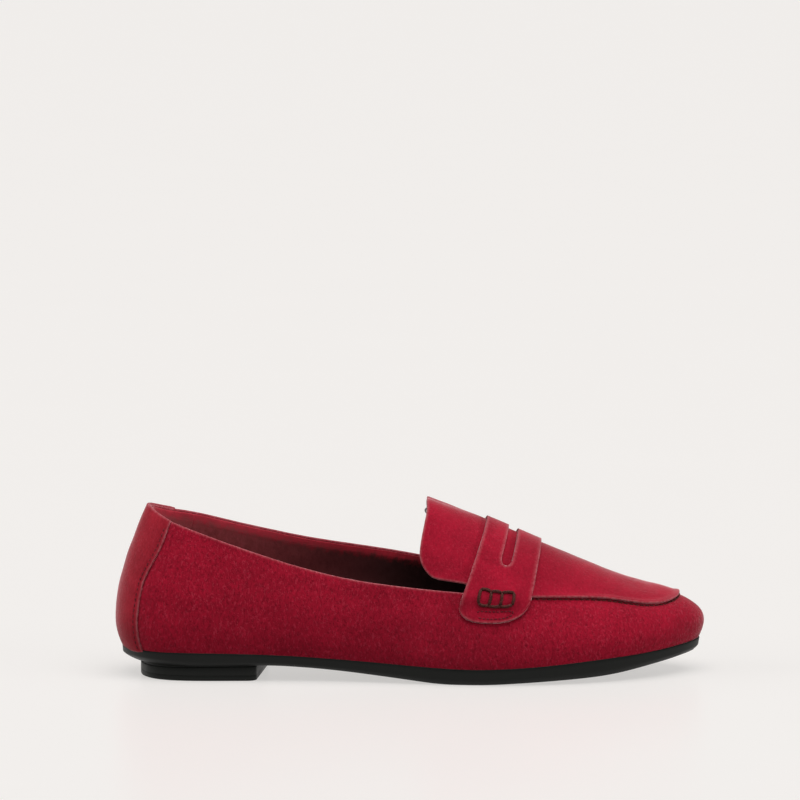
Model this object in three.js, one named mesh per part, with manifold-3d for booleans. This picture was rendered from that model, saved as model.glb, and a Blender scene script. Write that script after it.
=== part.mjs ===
// A women's penny loafer, right foot, size EU 38, in millimetres.
// +X points to the toe, +Y to the inner (medial) side of the foot and +Z up. The origin is on the
// ground under the middle of the shoe.
//
// Every upper piece lies on one surface, the shape of the last. The surface runs round the shoe in
// twenty numbered stations (0 heel back, 1..9 outer side, 10 toe tip, 11..19 inner side) and rises in
// each station from the feather edge, where the upper meets the sole, to the ridge of the instep.
import * as THREE from 'three';
import { mergeVertices } from 'three/addons/utils/BufferGeometryUtils.js';
import Module from 'manifold-3d';

const wasm = await Module();
wasm.setup();

// ---------------------------------------------------------------- driving dimensions

// Each station has its feather point, two handles [distance inward, height] that bend the side, the
// top of its section, and the height of the collar or of the apron's seam.
const STATIONS = [
  { foot: [4.8, 0, 12.2], low: [-9.3, 25], high: [-0.6, 54.6], top: [22, 0, 90], edge: 75.5 },
  { foot: [11.5, -18, 12.2], low: [-8.6, 25.4], high: [0, 54], top: [32, -6, 92], edge: 71.5 },
  { foot: [31, -26.5, 12.2], low: [-7, 26], high: [1, 52], top: [42, -11, 94], edge: 66.5 },
  { foot: [62, -27, 11.6], low: [-6, 25], high: [0, 48], top: [64, -13, 95], edge: 57.2 },
  { foot: [95, -27.5, 9.9], low: [-7, 24], high: [-7.5, 46], top: [95, 0, 94], edge: 48 },
  { foot: [128, -32.5, 7.7], low: [-8, 26], high: [6, 81.3], top: [128, -1, 81.3], edge: 43.2 },
  { foot: [158, -37.5, 6.4], low: [-8.5, 27], high: [14, 70], top: [158, 0, 70], edge: 40.6 },
  { foot: [188, -36.5, 7.6], low: [-8, 25], high: [15, 57.3], top: [188, 1.5, 57.3], edge: 38 },
  { foot: [216, -29, 9.9], low: [-7.5, 26], high: [14, 45.4], top: [216, 4, 45.2], edge: 35.9 },
  { foot: [241.5, -14.5, 12.4], low: [-8.2, 30], high: [10, 37], top: [229, 6, 40.3], edge: 32.2 },
  { foot: [259.5, 8, 14.9], low: [-9.8, 31], high: [11.8, 35.8], top: [229, 6, 40.3], edge: 34.3 },
  { foot: [243, 27.5, 12.5], low: [-8.2, 30], high: [10, 37], top: [229, 6, 40.3], edge: 32.4 },
  { foot: [216, 36, 9.9], low: [-7.5, 26], high: [13, 45.4], top: [216, 4, 45.2], edge: 35.9 },
  { foot: [188, 39.5, 7.6], low: [-7, 25], high: [17, 57.3], top: [188, 1.5, 57.3], edge: 38.6 },
  { foot: [158, 36, 6.4], low: [-7, 27], high: [14, 70], top: [158, 0, 70], edge: 44 },
  { foot: [128, 28, 7.7], low: [-8, 28], high: [4, 81.3], top: [128, -1, 81.3], edge: 50.8 },
  { foot: [95, 22.5, 9.9], low: [-8, 28], high: [-9.5, 48], top: [95, 0, 94], edge: 56.6 },
  { foot: [62, 24.5, 11.6], low: [-7, 26], high: [-1, 50], top: [64, 12, 95], edge: 62.9 },
  { foot: [31, 26.5, 12.2], low: [-7, 26], high: [1, 52], top: [42, 11, 94], edge: 69.4 },
  { foot: [11.5, 18, 12.2], low: [-8.6, 25.4], high: [0, 54], top: [32, 6, 92], edge: 72.8 },
];
const AROUND = STATIONS.length;
const TOE = AROUND / 2;
const RIDGE_SLOPE_AT_TOE = -0.28;

const GAP = 0.3;                    // air between pieces that touch

// Layers of the upper, as distances out of the last surface.
const WRAP = [-1.3, 0];
const STIFFENER = [-2.3, -1.7];
const LINING = [-3.5, -2.7];
const APRON = [0.3, 1.5];
const TONGUE_LINING = [-1, 0];
const PATCH = [0.3, 1.3];
const STRAP_THICKNESS = 1.3;
const STRAP_ON_WRAP = 0.3;
const STRAP_ON_APRON = 1.9;
const STRAP_DROP = [-11, -5];          // heights below the apron's seam where it meets the wrap

const LAP_UNDER_APRON = 5;
const LAP_RANGE = [162, 172];          // where the wrap's top dives under the apron
const TOE_PUFF_TOP = 32;
const HEEL_PATCH_FRONT = [1.11, 1.32]; // station of its front edge, at the sole and at the collar
const LASTING_MARGIN = 12;
const LINING_BELOW_COLLAR = 1;
const TAPE_BELOW_COLLAR = 2.5;
const TAPE_WIDTH = 6;

// Bottom of the shoe, as heights above the feather edge.
const BOARD = [1.6, 3.6];
const FILLER = [0, 1.3];
const CUSHION = [3.9, 6.4];
const SOCK = [6.7, 7.7];
const BOARD_INSET = 2;
const SOCK_INSET = 4.5;

// Outsole underside: distance from the heel and height above the ground.
const SOLE_BOTTOM = [[0, 6.2], [70, 7.1], [86, 6.1], [101, 4.8], [123, 2.4], [144, 0], [165, 0],
  [187, 1.1], [208, 2.2], [219, 3], [230, 4.6], [240, 6.3], [251, 7.9], [262, 10.6]];

const SOLE_EDGE_ROUNDING = 2.2;
const SOLE_EDGE_DEPTH = 0.62;          // share of the sole's thickness that stands upright
const HEEL_BEVEL = { reach: 6.4, below: 2.3 };   // round the back, under the upright edge
const TOP_PIECE_HEIGHT = 2.4;
const HEEL_BREAST_STATION = 3;
const HEEL_INSET_BACK = 6.2;
const HEEL_INSET_SIDE = 2.7;
const HEEL_BREAST_SKEW = 0.1;          // the inner corner of the breast is further forward
const HEEL_CORNER = 3;

const NAIL_DIAMETER = 1.8;
const NAIL_HEAD_DIAMETER = 3.8;
const NAIL_HEAD_HEIGHT = 0.8;
const NAIL_TIP_HEIGHT = 3.6;
const NAIL_PLACES = [[20, 0], [30, -13], [30, 13], [50, -14], [50, 14]];

// The tongue hangs from a line hidden under the rear band of the strap.
const TONGUE_CREST_X = 138.5;
const TONGUE_SIDE_X = 135.2;
const TONGUE_CORNER = 8.3;
const TONGUE_CORNER_START = 0.8;       // share of the way from the crest to the lower edge
const TONGUE_INNER_TRIM = 2.2;         // the inner corner is cut back a little
const TONGUE_EDGE = { x: 154.4, height: 44.7, rearSlope: 0.17, frontSlope: 0.354, innerRise: 5 };
const STUD = { x: 140.7, across: 0.5 };          // halfway from the crest to the inner edge
const HINGE_X = 165.2;
const SPLIT_LEAN = 0.25;

// The strap leans back as it goes down: its edges are lines of x against height.
const STRAP_REAR = { crestX: 165, crestZ: 70.1, lean: 0.362 };
const STRAP_FRONT = { crestX: 188.7, crestZ: 60.3, lean: 0.22 };
const STRAP_END_HEIGHT = 27.7;
const STRAP_END_ROUNDING = 8.5;
const SLOT = { rear: 0.41, front: 0.585, end: 50.4 };
const LINK_COLUMNS = [0.24, 0.39, 0.55, 0.72];     // thick stitches, across the strap's width
const LINK_LEVELS = [0.777, 0.872];                // and along it, from the ridge to its end

// ---------------------------------------------------------------- the last surface

const mod = (a, n) => ((a % n) + n) % n;
const lerp = (a, b, t) => a + (b - a) * t;
const clamp01 = (t) => Math.min(1, Math.max(0, t));
const smooth = (from, to, value) => {
  const t = clamp01((value - from) / (to - from));
  return t * t * (3 - 2 * t);
};

// Control values of the closed cubic B-spline that passes through the given values.
function controlsThrough(values) {
  const n = values.length;
  let controls = [...values];
  for (let pass = 0; pass < 40; pass++) {
    const before = controls;
    controls = values.map((p, i) => (6 * p - before[mod(i - 1, n)] - before[mod(i + 1, n)]) / 4);
  }
  return controls;
}

function splineAt(controls, s) {
  const i = Math.floor(s);
  const f = s - i;
  const weights = [(1 - f) ** 3, 3 * f ** 3 - 6 * f ** 2 + 4, -3 * f ** 3 + 3 * f ** 2 + 3 * f + 1, f ** 3];
  return weights.reduce((sum, w, k) => sum + w * controls[mod(i - 1 + k, controls.length)], 0) / 6;
}

// Plan direction from a station's feather point to its top.
function inwardOf({ foot, top }) {
  const dx = top[0] - foot[0];
  const dy = top[1] - foot[1];
  const length = Math.hypot(dx, dy);
  return [dx / length, dy / length];
}

function handleOf(station, [inward, height]) {
  const [dx, dy] = inwardOf(station);
  return [station.foot[0] + dx * inward, station.foot[1] + dy * inward, height];
}

function guideThrough(points) {
  const axes = [0, 1, 2].map((axis) => controlsThrough(points.map((p) => p[axis])));
  return (s) => new THREE.Vector3(...axes.map((controls) => splineAt(controls, s)));
}

const footGuide = guideThrough(STATIONS.map((station) => station.foot));
const lowGuide = guideThrough(STATIONS.map((station) => handleOf(station, station.low)));
const highGuide = guideThrough(STATIONS.map((station) => handleOf(station, station.high)));
const topGuide = guideThrough(STATIONS.map((station) => station.top));
const edgeControls = controlsThrough(STATIONS.map((station) => station.edge));
const edgeHeight = (s) => splineAt(edgeControls, s);

function surface(s, v) {
  const w = 1 - v;
  return footGuide(s).multiplyScalar(w ** 3)
    .addScaledVector(lowGuide(s), 3 * v * w ** 2)
    .addScaledVector(highGuide(s), 3 * v ** 2 * w)
    .addScaledVector(topGuide(s), v ** 3);
}

// Outward normal. On the ridge the two sides share one that only leans with the ridge's slope.
function surfaceNormal(s, v) {
  const step = 0.002;
  if (v > 0.999) {
    const along = topGuide(s + step).sub(topGuide(s - step));
    const atPole = Math.hypot(along.x, along.y) < 0.02;
    const slope = atPole ? RIDGE_SLOPE_AT_TOE : along.z / along.x;
    return new THREE.Vector3(-slope, 0, 1).normalize();
  }
  const round = surface(s + step, v).sub(surface(s - step, v));
  const up = surface(s, v + step).sub(surface(s, v - step));
  return round.cross(up).normalize();
}

const layerPoint = (s, v, offset) => surface(s, v).addScaledVector(surfaceNormal(s, v), offset);

// Value in [low, high] where a rising function reaches the target.
function solve(rising, target, low, high) {
  for (let pass = 0; pass < 30; pass++) {
    const middle = (low + high) / 2;
    if (rising(middle) < target) low = middle;
    else high = middle;
  }
  return (low + high) / 2;
}

const vAtHeight = (s, z) => solve((v) => surface(s, v).z, z, 0, 1);
const stationAtX = (x) => solve((s) => topGuide(s).x, x, 4.5, 9);
const featherZ = (x) => footGuide(solve((s) => footGuide(s).x, x, 0, TOE)).z;

// Outer-side station of a point across the instep, or its mirror on the inner side.
const sideStation = (station, across) => (across < 0 ? station : AROUND - station);

// ---------------------------------------------------------------- solids from grids

// Closed solid between two matching grids of points, with a wall round every free edge. keep says
// which cells exist, so that a sheet can have a hole.
function sheet(rows, columns, outer, inner, keep = () => true) {
  const positions = [];
  const seen = new Map();
  const label = (p) => [p.x, p.y, p.z].map((c) => c.toFixed(3)).join();
  const vertexPair = (i, j) => {
    const pair = [outer(i / rows, j / columns), inner(i / rows, j / columns)];
    const key = pair.map(label).join('|');
    if (!seen.has(key)) {
      seen.set(key, positions.length);
      positions.push(...pair);
    }
    return seen.get(key);
  };
  const ids = [];
  for (let i = 0; i <= rows; i++) {
    ids.push([]);
    for (let j = 0; j <= columns; j++) ids[i].push(vertexPair(i, j));
  }
  const face = [];
  const addTriangle = (a, b, c) => {
    if (a !== b && b !== c && c !== a) face.push([a, b, c]);
  };
  for (let i = 0; i < rows; i++) {
    for (let j = 0; j < columns; j++) {
      if (!keep((i + 0.5) / rows, (j + 0.5) / columns)) continue;
      addTriangle(ids[i][j], ids[i + 1][j], ids[i + 1][j + 1]);
      addTriangle(ids[i][j], ids[i + 1][j + 1], ids[i][j + 1]);
    }
  }
  return solidOf(positions, face);
}

// Outer points have even numbers and the inner point under each has the next odd one.
function solidOf(positions, face) {
  const edges = new Set();
  for (const [a, b, c] of face) [[a, b], [b, c], [c, a]].forEach((edge) => edges.add(edge.join()));
  const triangles = [];
  for (const [a, b, c] of face) {
    triangles.push([a, b, c], [a + 1, c + 1, b + 1]);
    for (const [p, q] of [[a, b], [b, c], [c, a]]) {
      if (!edges.has([q, p].join())) triangles.push([q, p, p + 1], [q, p + 1, q + 1]);
    }
  }
  return facingOut(positions, triangles);
}

function facingOut(positions, triangles) {
  const volume = triangles.reduce((sum, [a, b, c]) => {
    return sum + positions[a].dot(positions[b].clone().cross(positions[c]));
  }, 0);
  const ordered = volume < 0 ? triangles.map(([a, b, c]) => [a, c, b]) : triangles;
  const geometry = new THREE.BufferGeometry();
  const numbers = positions.flatMap((p) => [p.x, p.y, p.z]);
  geometry.setAttribute('position', new THREE.Float32BufferAttribute(numbers, 3));
  geometry.setIndex(ordered.flat());
  geometry.computeVertexNormals();
  return geometry;
}

// Sheet on the last surface: cells run from station `from` to `to`, and up from low(s) to high(s).
function band(from, to, rows, columns, layer, low, high) {
  const place = (offset) => (i, j) => {
    const s = lerp(from, to, i);
    return layerPoint(s, lerp(low(s), high(s), j), offset);
  };
  return sheet(rows, columns, place(layer[1]), place(layer[0]));
}

// Flat piece of the bottom between stations `from` and `to`, from side to side.
function plate(from, to, rows, outline, top, bottom, columns = 2) {
  const place = (height) => (i, j) => {
    const s = lerp(from, to, i);
    const outside = outline(s);
    const inside = outline(AROUND - s);
    const x = lerp(outside.x, inside.x, j);
    return new THREE.Vector3(x, lerp(outside.y, inside.y, j), height(x, s, j));
  };
  return sheet(rows, columns, place(top), place(bottom));
}

// Plan outline of the inside of the upper at a height above the feather, some way in from the last.
function outlineInside(above, inset) {
  return (s) => {
    const v = vAtHeight(s, footGuide(s).z + above);
    const normal = surfaceNormal(s, v).setZ(0);
    return surface(s, v).addScaledVector(normal.normalize(), -inset);
  };
}

const overFeather = (height) => (x) => featherZ(x) + height;

// Round thread along points.
function threadAlong(points, diameter, steps) {
  const section = new THREE.Shape();
  const sides = 6;
  for (let k = 0; k < sides; k++) {
    const angle = (k / sides) * 2 * Math.PI;
    const x = Math.cos(angle) * diameter / 2;
    const y = Math.sin(angle) * diameter / 2;
    if (k === 0) section.moveTo(x, y);
    else section.lineTo(x, y);
  }
  const extrudePath = new THREE.CatmullRomCurve3(points);
  return new THREE.ExtrudeGeometry(section, { steps, extrudePath });
}

// ---------------------------------------------------------------- cutting

function toSolid(geometry) {
  const bare = geometry.clone();
  bare.deleteAttribute('normal');
  bare.deleteAttribute('uv');
  const merged = mergeVertices(bare, 1e-4);
  return new wasm.Manifold(new wasm.Mesh({
    numProp: 3,
    vertProperties: new Float32Array(merged.attributes.position.array),
    triVerts: new Uint32Array(merged.index.array),
  }));
}

function toGeometry(solid) {
  const mesh = solid.getMesh();
  const geometry = new THREE.BufferGeometry();
  geometry.setAttribute('position', new THREE.BufferAttribute(mesh.vertProperties, 3));
  geometry.setIndex([...mesh.triVerts]);
  geometry.computeVertexNormals();
  return geometry;
}

function cut(geometry, cutters) {
  const rest = cutters.reduce((solid, cutter) => solid.subtract(toSolid(cutter)), toSolid(geometry));
  return toGeometry(rest);
}

// Upright cylinder between two heights.
function post(x, y, diameter, bottom, top) {
  const geometry = new THREE.CylinderGeometry(diameter / 2, diameter / 2, top - bottom, 12);
  return geometry.rotateX(Math.PI / 2).translate(x, y, (bottom + top) / 2);
}

// ---------------------------------------------------------------- upper

const atEdge = (s) => vAtHeight(s, edgeHeight(s));
const aboveBoard = (s) => vAtHeight(s, footGuide(s).z + BOARD[1] + GAP);
const belowCollar = (s) => vAtHeight(s, edgeHeight(s) - LINING_BELOW_COLLAR);

// Highest point of the wrap: the collar, or hidden under the apron beyond the seam.
function wrapTop(s) {
  const v = atEdge(s);
  const lap = LAP_UNDER_APRON * smooth(...LAP_RANGE, surface(s, v).x);
  const rise = surface(s, v + 0.01).distanceTo(surface(s, v)) / 0.01;
  return v + lap / rise;
}

// Station at a share of the way round, with shorter steps at the heel and at the toe.
function pacedStation(share) {
  const turn = 4 * Math.PI;
  return AROUND * (share - 0.35 * Math.sin(turn * share) / turn);
}

// The wrap starts with its lasting margin, which folds in under the insole board.
function vampWrap() {
  const marginRows = [LASTING_MARGIN, 4];
  const sideRows = 6;
  const rows = marginRows.length + sideRows;
  const marginPoint = (s, inward, height) => {
    const foot = footGuide(s);
    const low = lowGuide(s);
    const outward = new THREE.Vector2(low.x - foot.x, low.y - foot.y).normalize();
    const x = foot.x - outward.x * inward;
    const y = foot.y - outward.y * inward;
    return new THREE.Vector3(x, y, featherZ(x) + height);
  };
  const place = (offset) => (i, j) => {
    const s = pacedStation(lerp(0.001, 0.999, i));
    const row = Math.round(j * rows);
    const inner = offset < 0;
    if (row < marginRows.length) return marginPoint(s, marginRows[row], inner ? -WRAP[0] : 0);
    if (row === marginRows.length) return marginPoint(s, inner ? 0.8 : 0, inner ? -WRAP[0] : 0);
    const v = lerp(0, wrapTop(s), (row - marginRows.length) / sideRows);
    return layerPoint(s, v, offset);
  };
  return sheet(60, rows, place(WRAP[1]), place(WRAP[0]));
}

const heelPatchFront = (v) => lerp(...HEEL_PATCH_FRONT, smooth(0.6, 0.9, v));

// The patch wraps the back between two leaning edges.
function heelPatch() {
  const place = (offset) => (i, j) => {
    const top = vAtHeight(0, edgeHeight(0));
    const s = lerp(-1, 1, i) * heelPatchFront(j);
    const v = lerp(0.02, atEdge(mod(s, AROUND)) / top, j) * top;
    return layerPoint(mod(s, AROUND), v, offset);
  };
  return sheet(16, 7, place(PATCH[1]), place(PATCH[0]));
}

// Lower edge of the tongue and of the hidden part of the apron.
function tongueEdgeHeight(x, across) {
  const outer = across < 0;
  const slope = outer && x < TONGUE_EDGE.x ? TONGUE_EDGE.rearSlope : TONGUE_EDGE.frontSlope;
  const rise = outer ? 0 : TONGUE_EDGE.innerRise;
  return TONGUE_EDGE.height + slope * (TONGUE_EDGE.x - x) + rise;
}

function apronEdge(station, across) {
  const s = sideStation(station, across);
  const x = surface(s, 0.5).x;
  return vAtHeight(s, Math.max(edgeHeight(s), tongueEdgeHeight(x, across)));
}

// Point of apron or tongue: across is -1 at the outer seam, 0 on the ridge and 1 at the inner seam.
function apronPoint(station, across, offset) {
  const v = lerp(1, apronEdge(station, across), Math.abs(across));
  return layerPoint(sideStation(station, across), v, offset);
}

function splitStation(across, gap) {
  let station = stationAtX(HINGE_X);
  for (let pass = 0; pass < 6; pass++) {
    const z = apronPoint(station, across, 0).z;
    station = stationAtX(HINGE_X + gap - SPLIT_LEAN * (70 - z));
  }
  return station;
}

function apron() {
  const place = (offset) => (i, j) => {
    const across = lerp(-1, 1, j);
    const station = lerp(splitStation(across, 0.6), TOE, i);
    return apronPoint(station, across, offset);
  };
  return sheet(16, 12, place(APRON[1]), place(APRON[0]));
}

// Rear edge of the tongue: bowed between the crest and two rounded corners.
function tongueRearX(across) {
  const side = Math.abs(across);
  const bow = (TONGUE_CREST_X - TONGUE_SIDE_X) * (1 - smooth(0.3, 0.9, side));
  const corner = clamp01((side - TONGUE_CORNER_START) / (1 - TONGUE_CORNER_START));
  const round = TONGUE_CORNER * (1 - Math.sqrt(1 - corner ** 2));
  return TONGUE_SIDE_X + bow + round + TONGUE_INNER_TRIM * smooth(0.35, 0.7, across);
}

function tonguePiece(layer, trim) {
  const place = (offset) => (i, j) => {
    const across = lerp(-1, 1, j) * (1 - trim / 60);
    const rear = stationAtX(tongueRearX(across) + trim);
    return apronPoint(lerp(rear, splitStation(across, -trim), i), across, offset);
  };
  return sheet(6, 20, place(layer[1]), place(layer[0]));
}

// ---------------------------------------------------------------- strap

const leanX = ({ crestX, crestZ, lean }, z) => crestX - lean * (crestZ - z);

// How far the strap's underside stands off the last: close on the wrap, higher over the apron.
function strapOffset(s, z) {
  const aboveSeam = z - edgeHeight(s);
  return lerp(STRAP_ON_WRAP, STRAP_ON_APRON, smooth(...STRAP_DROP, aboveSeam));
}

// Point of the strap: across runs from -1 at the outer end to 1 at the inner one, width from the
// rear edge 0 to the front edge 1.
function strapPoint(across, width, lift) {
  const bend = Math.abs(2 * width - 1) ** 2.4;
  const end = STRAP_END_HEIGHT + STRAP_END_ROUNDING * (1 - Math.sqrt(1 - bend));
  let station = stationAtX(leanX(STRAP_REAR, 50));
  let s = sideStation(station, across);
  let v = 1;
  for (let pass = 0; pass < 8; pass++) {
    v = lerp(1, vAtHeight(s, end), Math.abs(across));
    const z = surface(s, v).z;
    station = stationAtX(lerp(leanX(STRAP_REAR, z), leanX(STRAP_FRONT, z), width));
    s = sideStation(station, across);
  }
  return layerPoint(s, v, strapOffset(s, surface(s, v).z) + lift);
}

function pennyStrap() {
  const widths = [0, 0.2, SLOT.rear, SLOT.front, 0.82, 1];
  const cells = widths.length - 1;
  const slotCell = 2;
  const slotMiddle = (SLOT.rear + SLOT.front) / 2;
  const slotReach = solve((across) => -strapPoint(-across, slotMiddle, 0).z, -SLOT.end, 0, 1);
  const place = (lift) => (i, j) => strapPoint(lerp(-1, 1, i), widths[Math.round(j * cells)], lift);
  const keep = (i, j) => Math.floor(j * cells) !== slotCell || Math.abs(lerp(-1, 1, i)) > slotReach;
  return sheet(24, cells, place(STRAP_THICKNESS), place(0), keep);
}

// ---------------------------------------------------------------- linings and stiffeners

function vampLining() {
  const rearX = 161;
  const place = (offset) => (i, j) => {
    const across = lerp(-1, 1, j);
    const station = lerp(stationAtX(rearX), TOE, i);
    const s = sideStation(station, across);
    return layerPoint(s, lerp(1, aboveBoard(s), Math.abs(across)), offset);
  };
  return sheet(15, 14, place(LINING[1]), place(LINING[0]));
}

function heelCounter() {
  const top = (s) => vAtHeight(mod(s, AROUND), 50 - 5 * Math.abs(s));
  return wrapRound(-2.6, 2.6, 14, 3, STIFFENER, aboveBoard, top);
}

// Band round the heel, where the stations start again.
function wrapRound(from, to, rows, columns, layer, low, high) {
  const place = (offset) => (i, j) => {
    const s = lerp(from, to, i);
    const round = mod(s, AROUND);
    return layerPoint(round, lerp(low(round), high(s), j), offset);
  };
  return sheet(rows, columns, place(layer[1]), place(layer[0]));
}

function heelLining() {
  return wrapRound(-1.9, 1.9, 10, 5, LINING, aboveBoard, (s) => belowCollar(mod(s, AROUND)));
}

function toePuff() {
  return band(8.2, 11.8, 18, 3, STIFFENER, aboveBoard, (s) => vAtHeight(s, TOE_PUFF_TOP));
}

function toplineTape(from, to) {
  const high = (s) => vAtHeight(s, edgeHeight(s) - TAPE_BELOW_COLLAR);
  const low = (s) => vAtHeight(s, edgeHeight(s) - TAPE_BELOW_COLLAR - TAPE_WIDTH);
  return band(from, to, 16, 1, STIFFENER, low, high);
}

// ---------------------------------------------------------------- bottom

const boardOutline = outlineInside(BOARD[0], BOARD_INSET);
const sockOutline = outlineInside(CUSHION[1], SOCK_INSET);

function insoleBoard() {
  const board = plate(0, TOE, 32, boardOutline, overFeather(BOARD[1]), overFeather(BOARD[0]));
  const holes = NAIL_PLACES.flatMap(([x, y]) => {
    const top = featherZ(x) + BOARD[1] + 1;
    const seat = featherZ(x) + BOARD[1] - NAIL_HEAD_HEIGHT - 2 * GAP;
    return [post(x, y, NAIL_DIAMETER + 2 * GAP, seat - 4, top),
      post(x, y, NAIL_HEAD_DIAMETER + 2 * GAP, seat, top)];
  });
  return cut(board, holes);
}

function heelNail([x, y]) {
  const top = featherZ(x) + BOARD[1] - GAP;
  const radius = NAIL_DIAMETER / 2;
  const head = NAIL_HEAD_DIAMETER / 2;
  const neck = top - NAIL_HEAD_HEIGHT;
  const profile = [[0, NAIL_TIP_HEIGHT], [radius, NAIL_TIP_HEIGHT + 1], [radius, neck], [head, neck],
    [head, top], [0, top]];
  const geometry = new THREE.LatheGeometry(profile.map(([r, z]) => new THREE.Vector2(r, z)), 10);
  return geometry.rotateX(Math.PI / 2).translate(x, y, 0);
}

// Filler between the wrap's lasting margins, ahead of the shank.
function bottomFiller() {
  const outline = outlineInside(0.1, LASTING_MARGIN + 1);
  return plate(4.9, 9.6, 16, outline, overFeather(FILLER[1]), overFeather(FILLER[0]));
}

function shank() {
  const halfWidth = 6;
  const outline = (s) => new THREE.Vector3(footGuide(s).x, s < TOE ? -halfWidth : halfWidth, 0);
  return plate(1.7, 4.6, 10, outline, overFeather(FILLER[1]), overFeather(FILLER[0] + 0.1), 1);
}

function cushion(from, to, rows) {
  return plate(from, to, rows, sockOutline, overFeather(CUSHION[1]), overFeather(CUSHION[0]));
}

function sockLining() {
  return plate(0, TOE, 32, sockOutline, overFeather(SOCK[1]), overFeather(SOCK[0]));
}

function soleBottomZ(x) {
  const next = SOLE_BOTTOM.findIndex(([place]) => place > x);
  const [x0, z0] = SOLE_BOTTOM[Math.max(0, next - 1)];
  const [x1, z1] = SOLE_BOTTOM[Math.max(1, next)];
  return lerp(z0, z1, clamp01((x - x0) / (x1 - x0)));
}

// The outsole's edge is upright, then rounds under. At the heel it is bevelled to the heel block.
function outsole() {
  const outline = (s) => footGuide(s);
  const heelShare = (s) => smooth(2.4, 0.6, Math.min(s, AROUND - s));
  const bottom = (x, s, j) => {
    const width = outline(s).distanceTo(outline(AROUND - s));
    const fromEdge = Math.min(j, 1 - j) * Math.max(width, 1);
    const rounded = clamp01(fromEdge / lerp(SOLE_EDGE_ROUNDING, HEEL_BEVEL.reach, heelShare(s)));
    const sideZ = lerp(featherZ(x), soleBottomZ(x), SOLE_EDGE_DEPTH);
    const edgeZ = lerp(sideZ, featherZ(x) - HEEL_BEVEL.below, heelShare(s));
    return lerp(edgeZ, soleBottomZ(x), Math.sqrt(1 - (1 - rounded) ** 2));
  };
  const sole = plate(0, TOE, 36, outline, overFeather(-GAP), bottom, 10);
  const holes = NAIL_PLACES.map(([x, y]) => post(x, y, NAIL_DIAMETER + 2 * GAP, 0, 20));
  return cut(sole, holes);
}

function heelOutline(s) {
  const foot = footGuide(s);
  const low = lowGuide(s);
  const outward = new THREE.Vector3(low.x - foot.x, low.y - foot.y, 0).normalize();
  const station = Math.min(s, AROUND - s);
  const toBreast = clamp01((station - HEEL_BREAST_STATION) / 0.1 + 1);
  const corner = HEEL_CORNER * (1 - Math.sqrt(1 - toBreast ** 2));
  const inset = lerp(HEEL_INSET_BACK, HEEL_INSET_SIDE, smooth(0, 2, station)) + corner;
  const place = foot.addScaledVector(outward, -inset);
  place.x += HEEL_BREAST_SKEW * (place.y + 24) * smooth(0, HEEL_BREAST_STATION, station);
  return place;
}

// Steps round the heel, closer together at the rounded corners of the breast.
const heelPace = (share) => (share < 0.7 ? share / 0.7 * 0.965 : lerp(0.965, 1, (share - 0.7) / 0.3));

function heelSlice(bottom, top) {
  const outline = (s) => {
    const share = Math.min(s, AROUND - s) / HEEL_BREAST_STATION;
    const station = heelPace(share) * HEEL_BREAST_STATION;
    return heelOutline(s < TOE ? station : AROUND - station);
  };
  return plate(0, HEEL_BREAST_STATION, 20, outline, top, () => bottom);
}

function heelBlock() {
  const block = heelSlice(TOP_PIECE_HEIGHT + GAP, (x) => soleBottomZ(x) - GAP);
  const holes = NAIL_PLACES.map(([x, y]) => post(x, y, NAIL_DIAMETER + 2 * GAP, NAIL_TIP_HEIGHT - GAP, 20));
  return cut(block, holes);
}

function heelTopPiece() {
  return heelSlice(0, () => TOP_PIECE_HEIGHT);
}

// ---------------------------------------------------------------- threads and stud

const THREAD = 0.8;
const LINK_THREAD = 1;
const FINE_THREAD = 0.5;

function apronSeamThread() {
  const count = 24;
  const start = stationAtX(186);
  const points = [];
  for (let k = 0; k <= count; k++) {
    const s = lerp(start, AROUND - start, k / count);
    points.push(layerPoint(s, vAtHeight(s, edgeHeight(s) - 1.3), GAP + THREAD / 2));
  }
  return threadAlong(points, THREAD, 48);
}

function heelSeamThread(side) {
  const points = [0.1, 0.3, 0.5, 0.7, 0.9].map((j) => {
    const s = mod(side * (heelPatchFront(j) - 0.1), AROUND);
    return layerPoint(s, j * atEdge(s), PATCH[1] + GAP + FINE_THREAD / 2);
  });
  return threadAlong(points, FINE_THREAD, 16);
}

const threadLift = (diameter) => STRAP_THICKNESS + 0.5 + 0.8 * diameter;

function strapThread(side, places, diameter, steps) {
  const points = places.map(([across, width]) => strapPoint(side * across, width, threadLift(diameter)));
  return threadAlong(points, diameter, steps);
}

// Thick stitches that hold the strap's end: four rungs between two rails, like three links of a chain.
function strapStitch(side) {
  const rails = LINK_LEVELS.map((across) => LINK_COLUMNS.map((width) => [across, width]));
  const rungs = LINK_COLUMNS.map((width) => LINK_LEVELS.map((across) => [across, width]));
  const threads = [...rails.map((places) => strapThread(side, places, LINK_THREAD, 12)),
    ...rungs.map((places) => strapThread(side, places, LINK_THREAD, 3))];
  return toGeometry(threads.map(toSolid).reduce((joined, next) => joined.add(next)));
}

// Fine seam that follows the strap's rounded end.
function strapEdgeThread(side) {
  const places = [[0.935, 0.16], [0.955, 0.3], [0.965, 0.45], [0.965, 0.62], [0.95, 0.76], [0.93, 0.82]];
  return strapThread(side, places, FINE_THREAD, 24);
}

// Small domed stud under the tongue's lining, close to its rear edge.
function tongueStud() {
  const profile = [[0, 0], [3, 0], [3, 0.5], [2.2, 1], [1.1, 1.3], [0, 1.4]];
  const geometry = new THREE.LatheGeometry(profile.map(([r, z]) => new THREE.Vector2(r, z)), 16);
  const station = stationAtX(STUD.x);
  const v = lerp(1, apronEdge(station, 1), STUD.across);
  const inward = surfaceNormal(AROUND - station, v).negate();
  const place = layerPoint(AROUND - station, v, TONGUE_LINING[0] - 2 * GAP);
  const turn = new THREE.Quaternion().setFromUnitVectors(new THREE.Vector3(0, 1, 0), inward);
  return { geometry, place, turn };
}

// ---------------------------------------------------------------- materials and assembly

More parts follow.
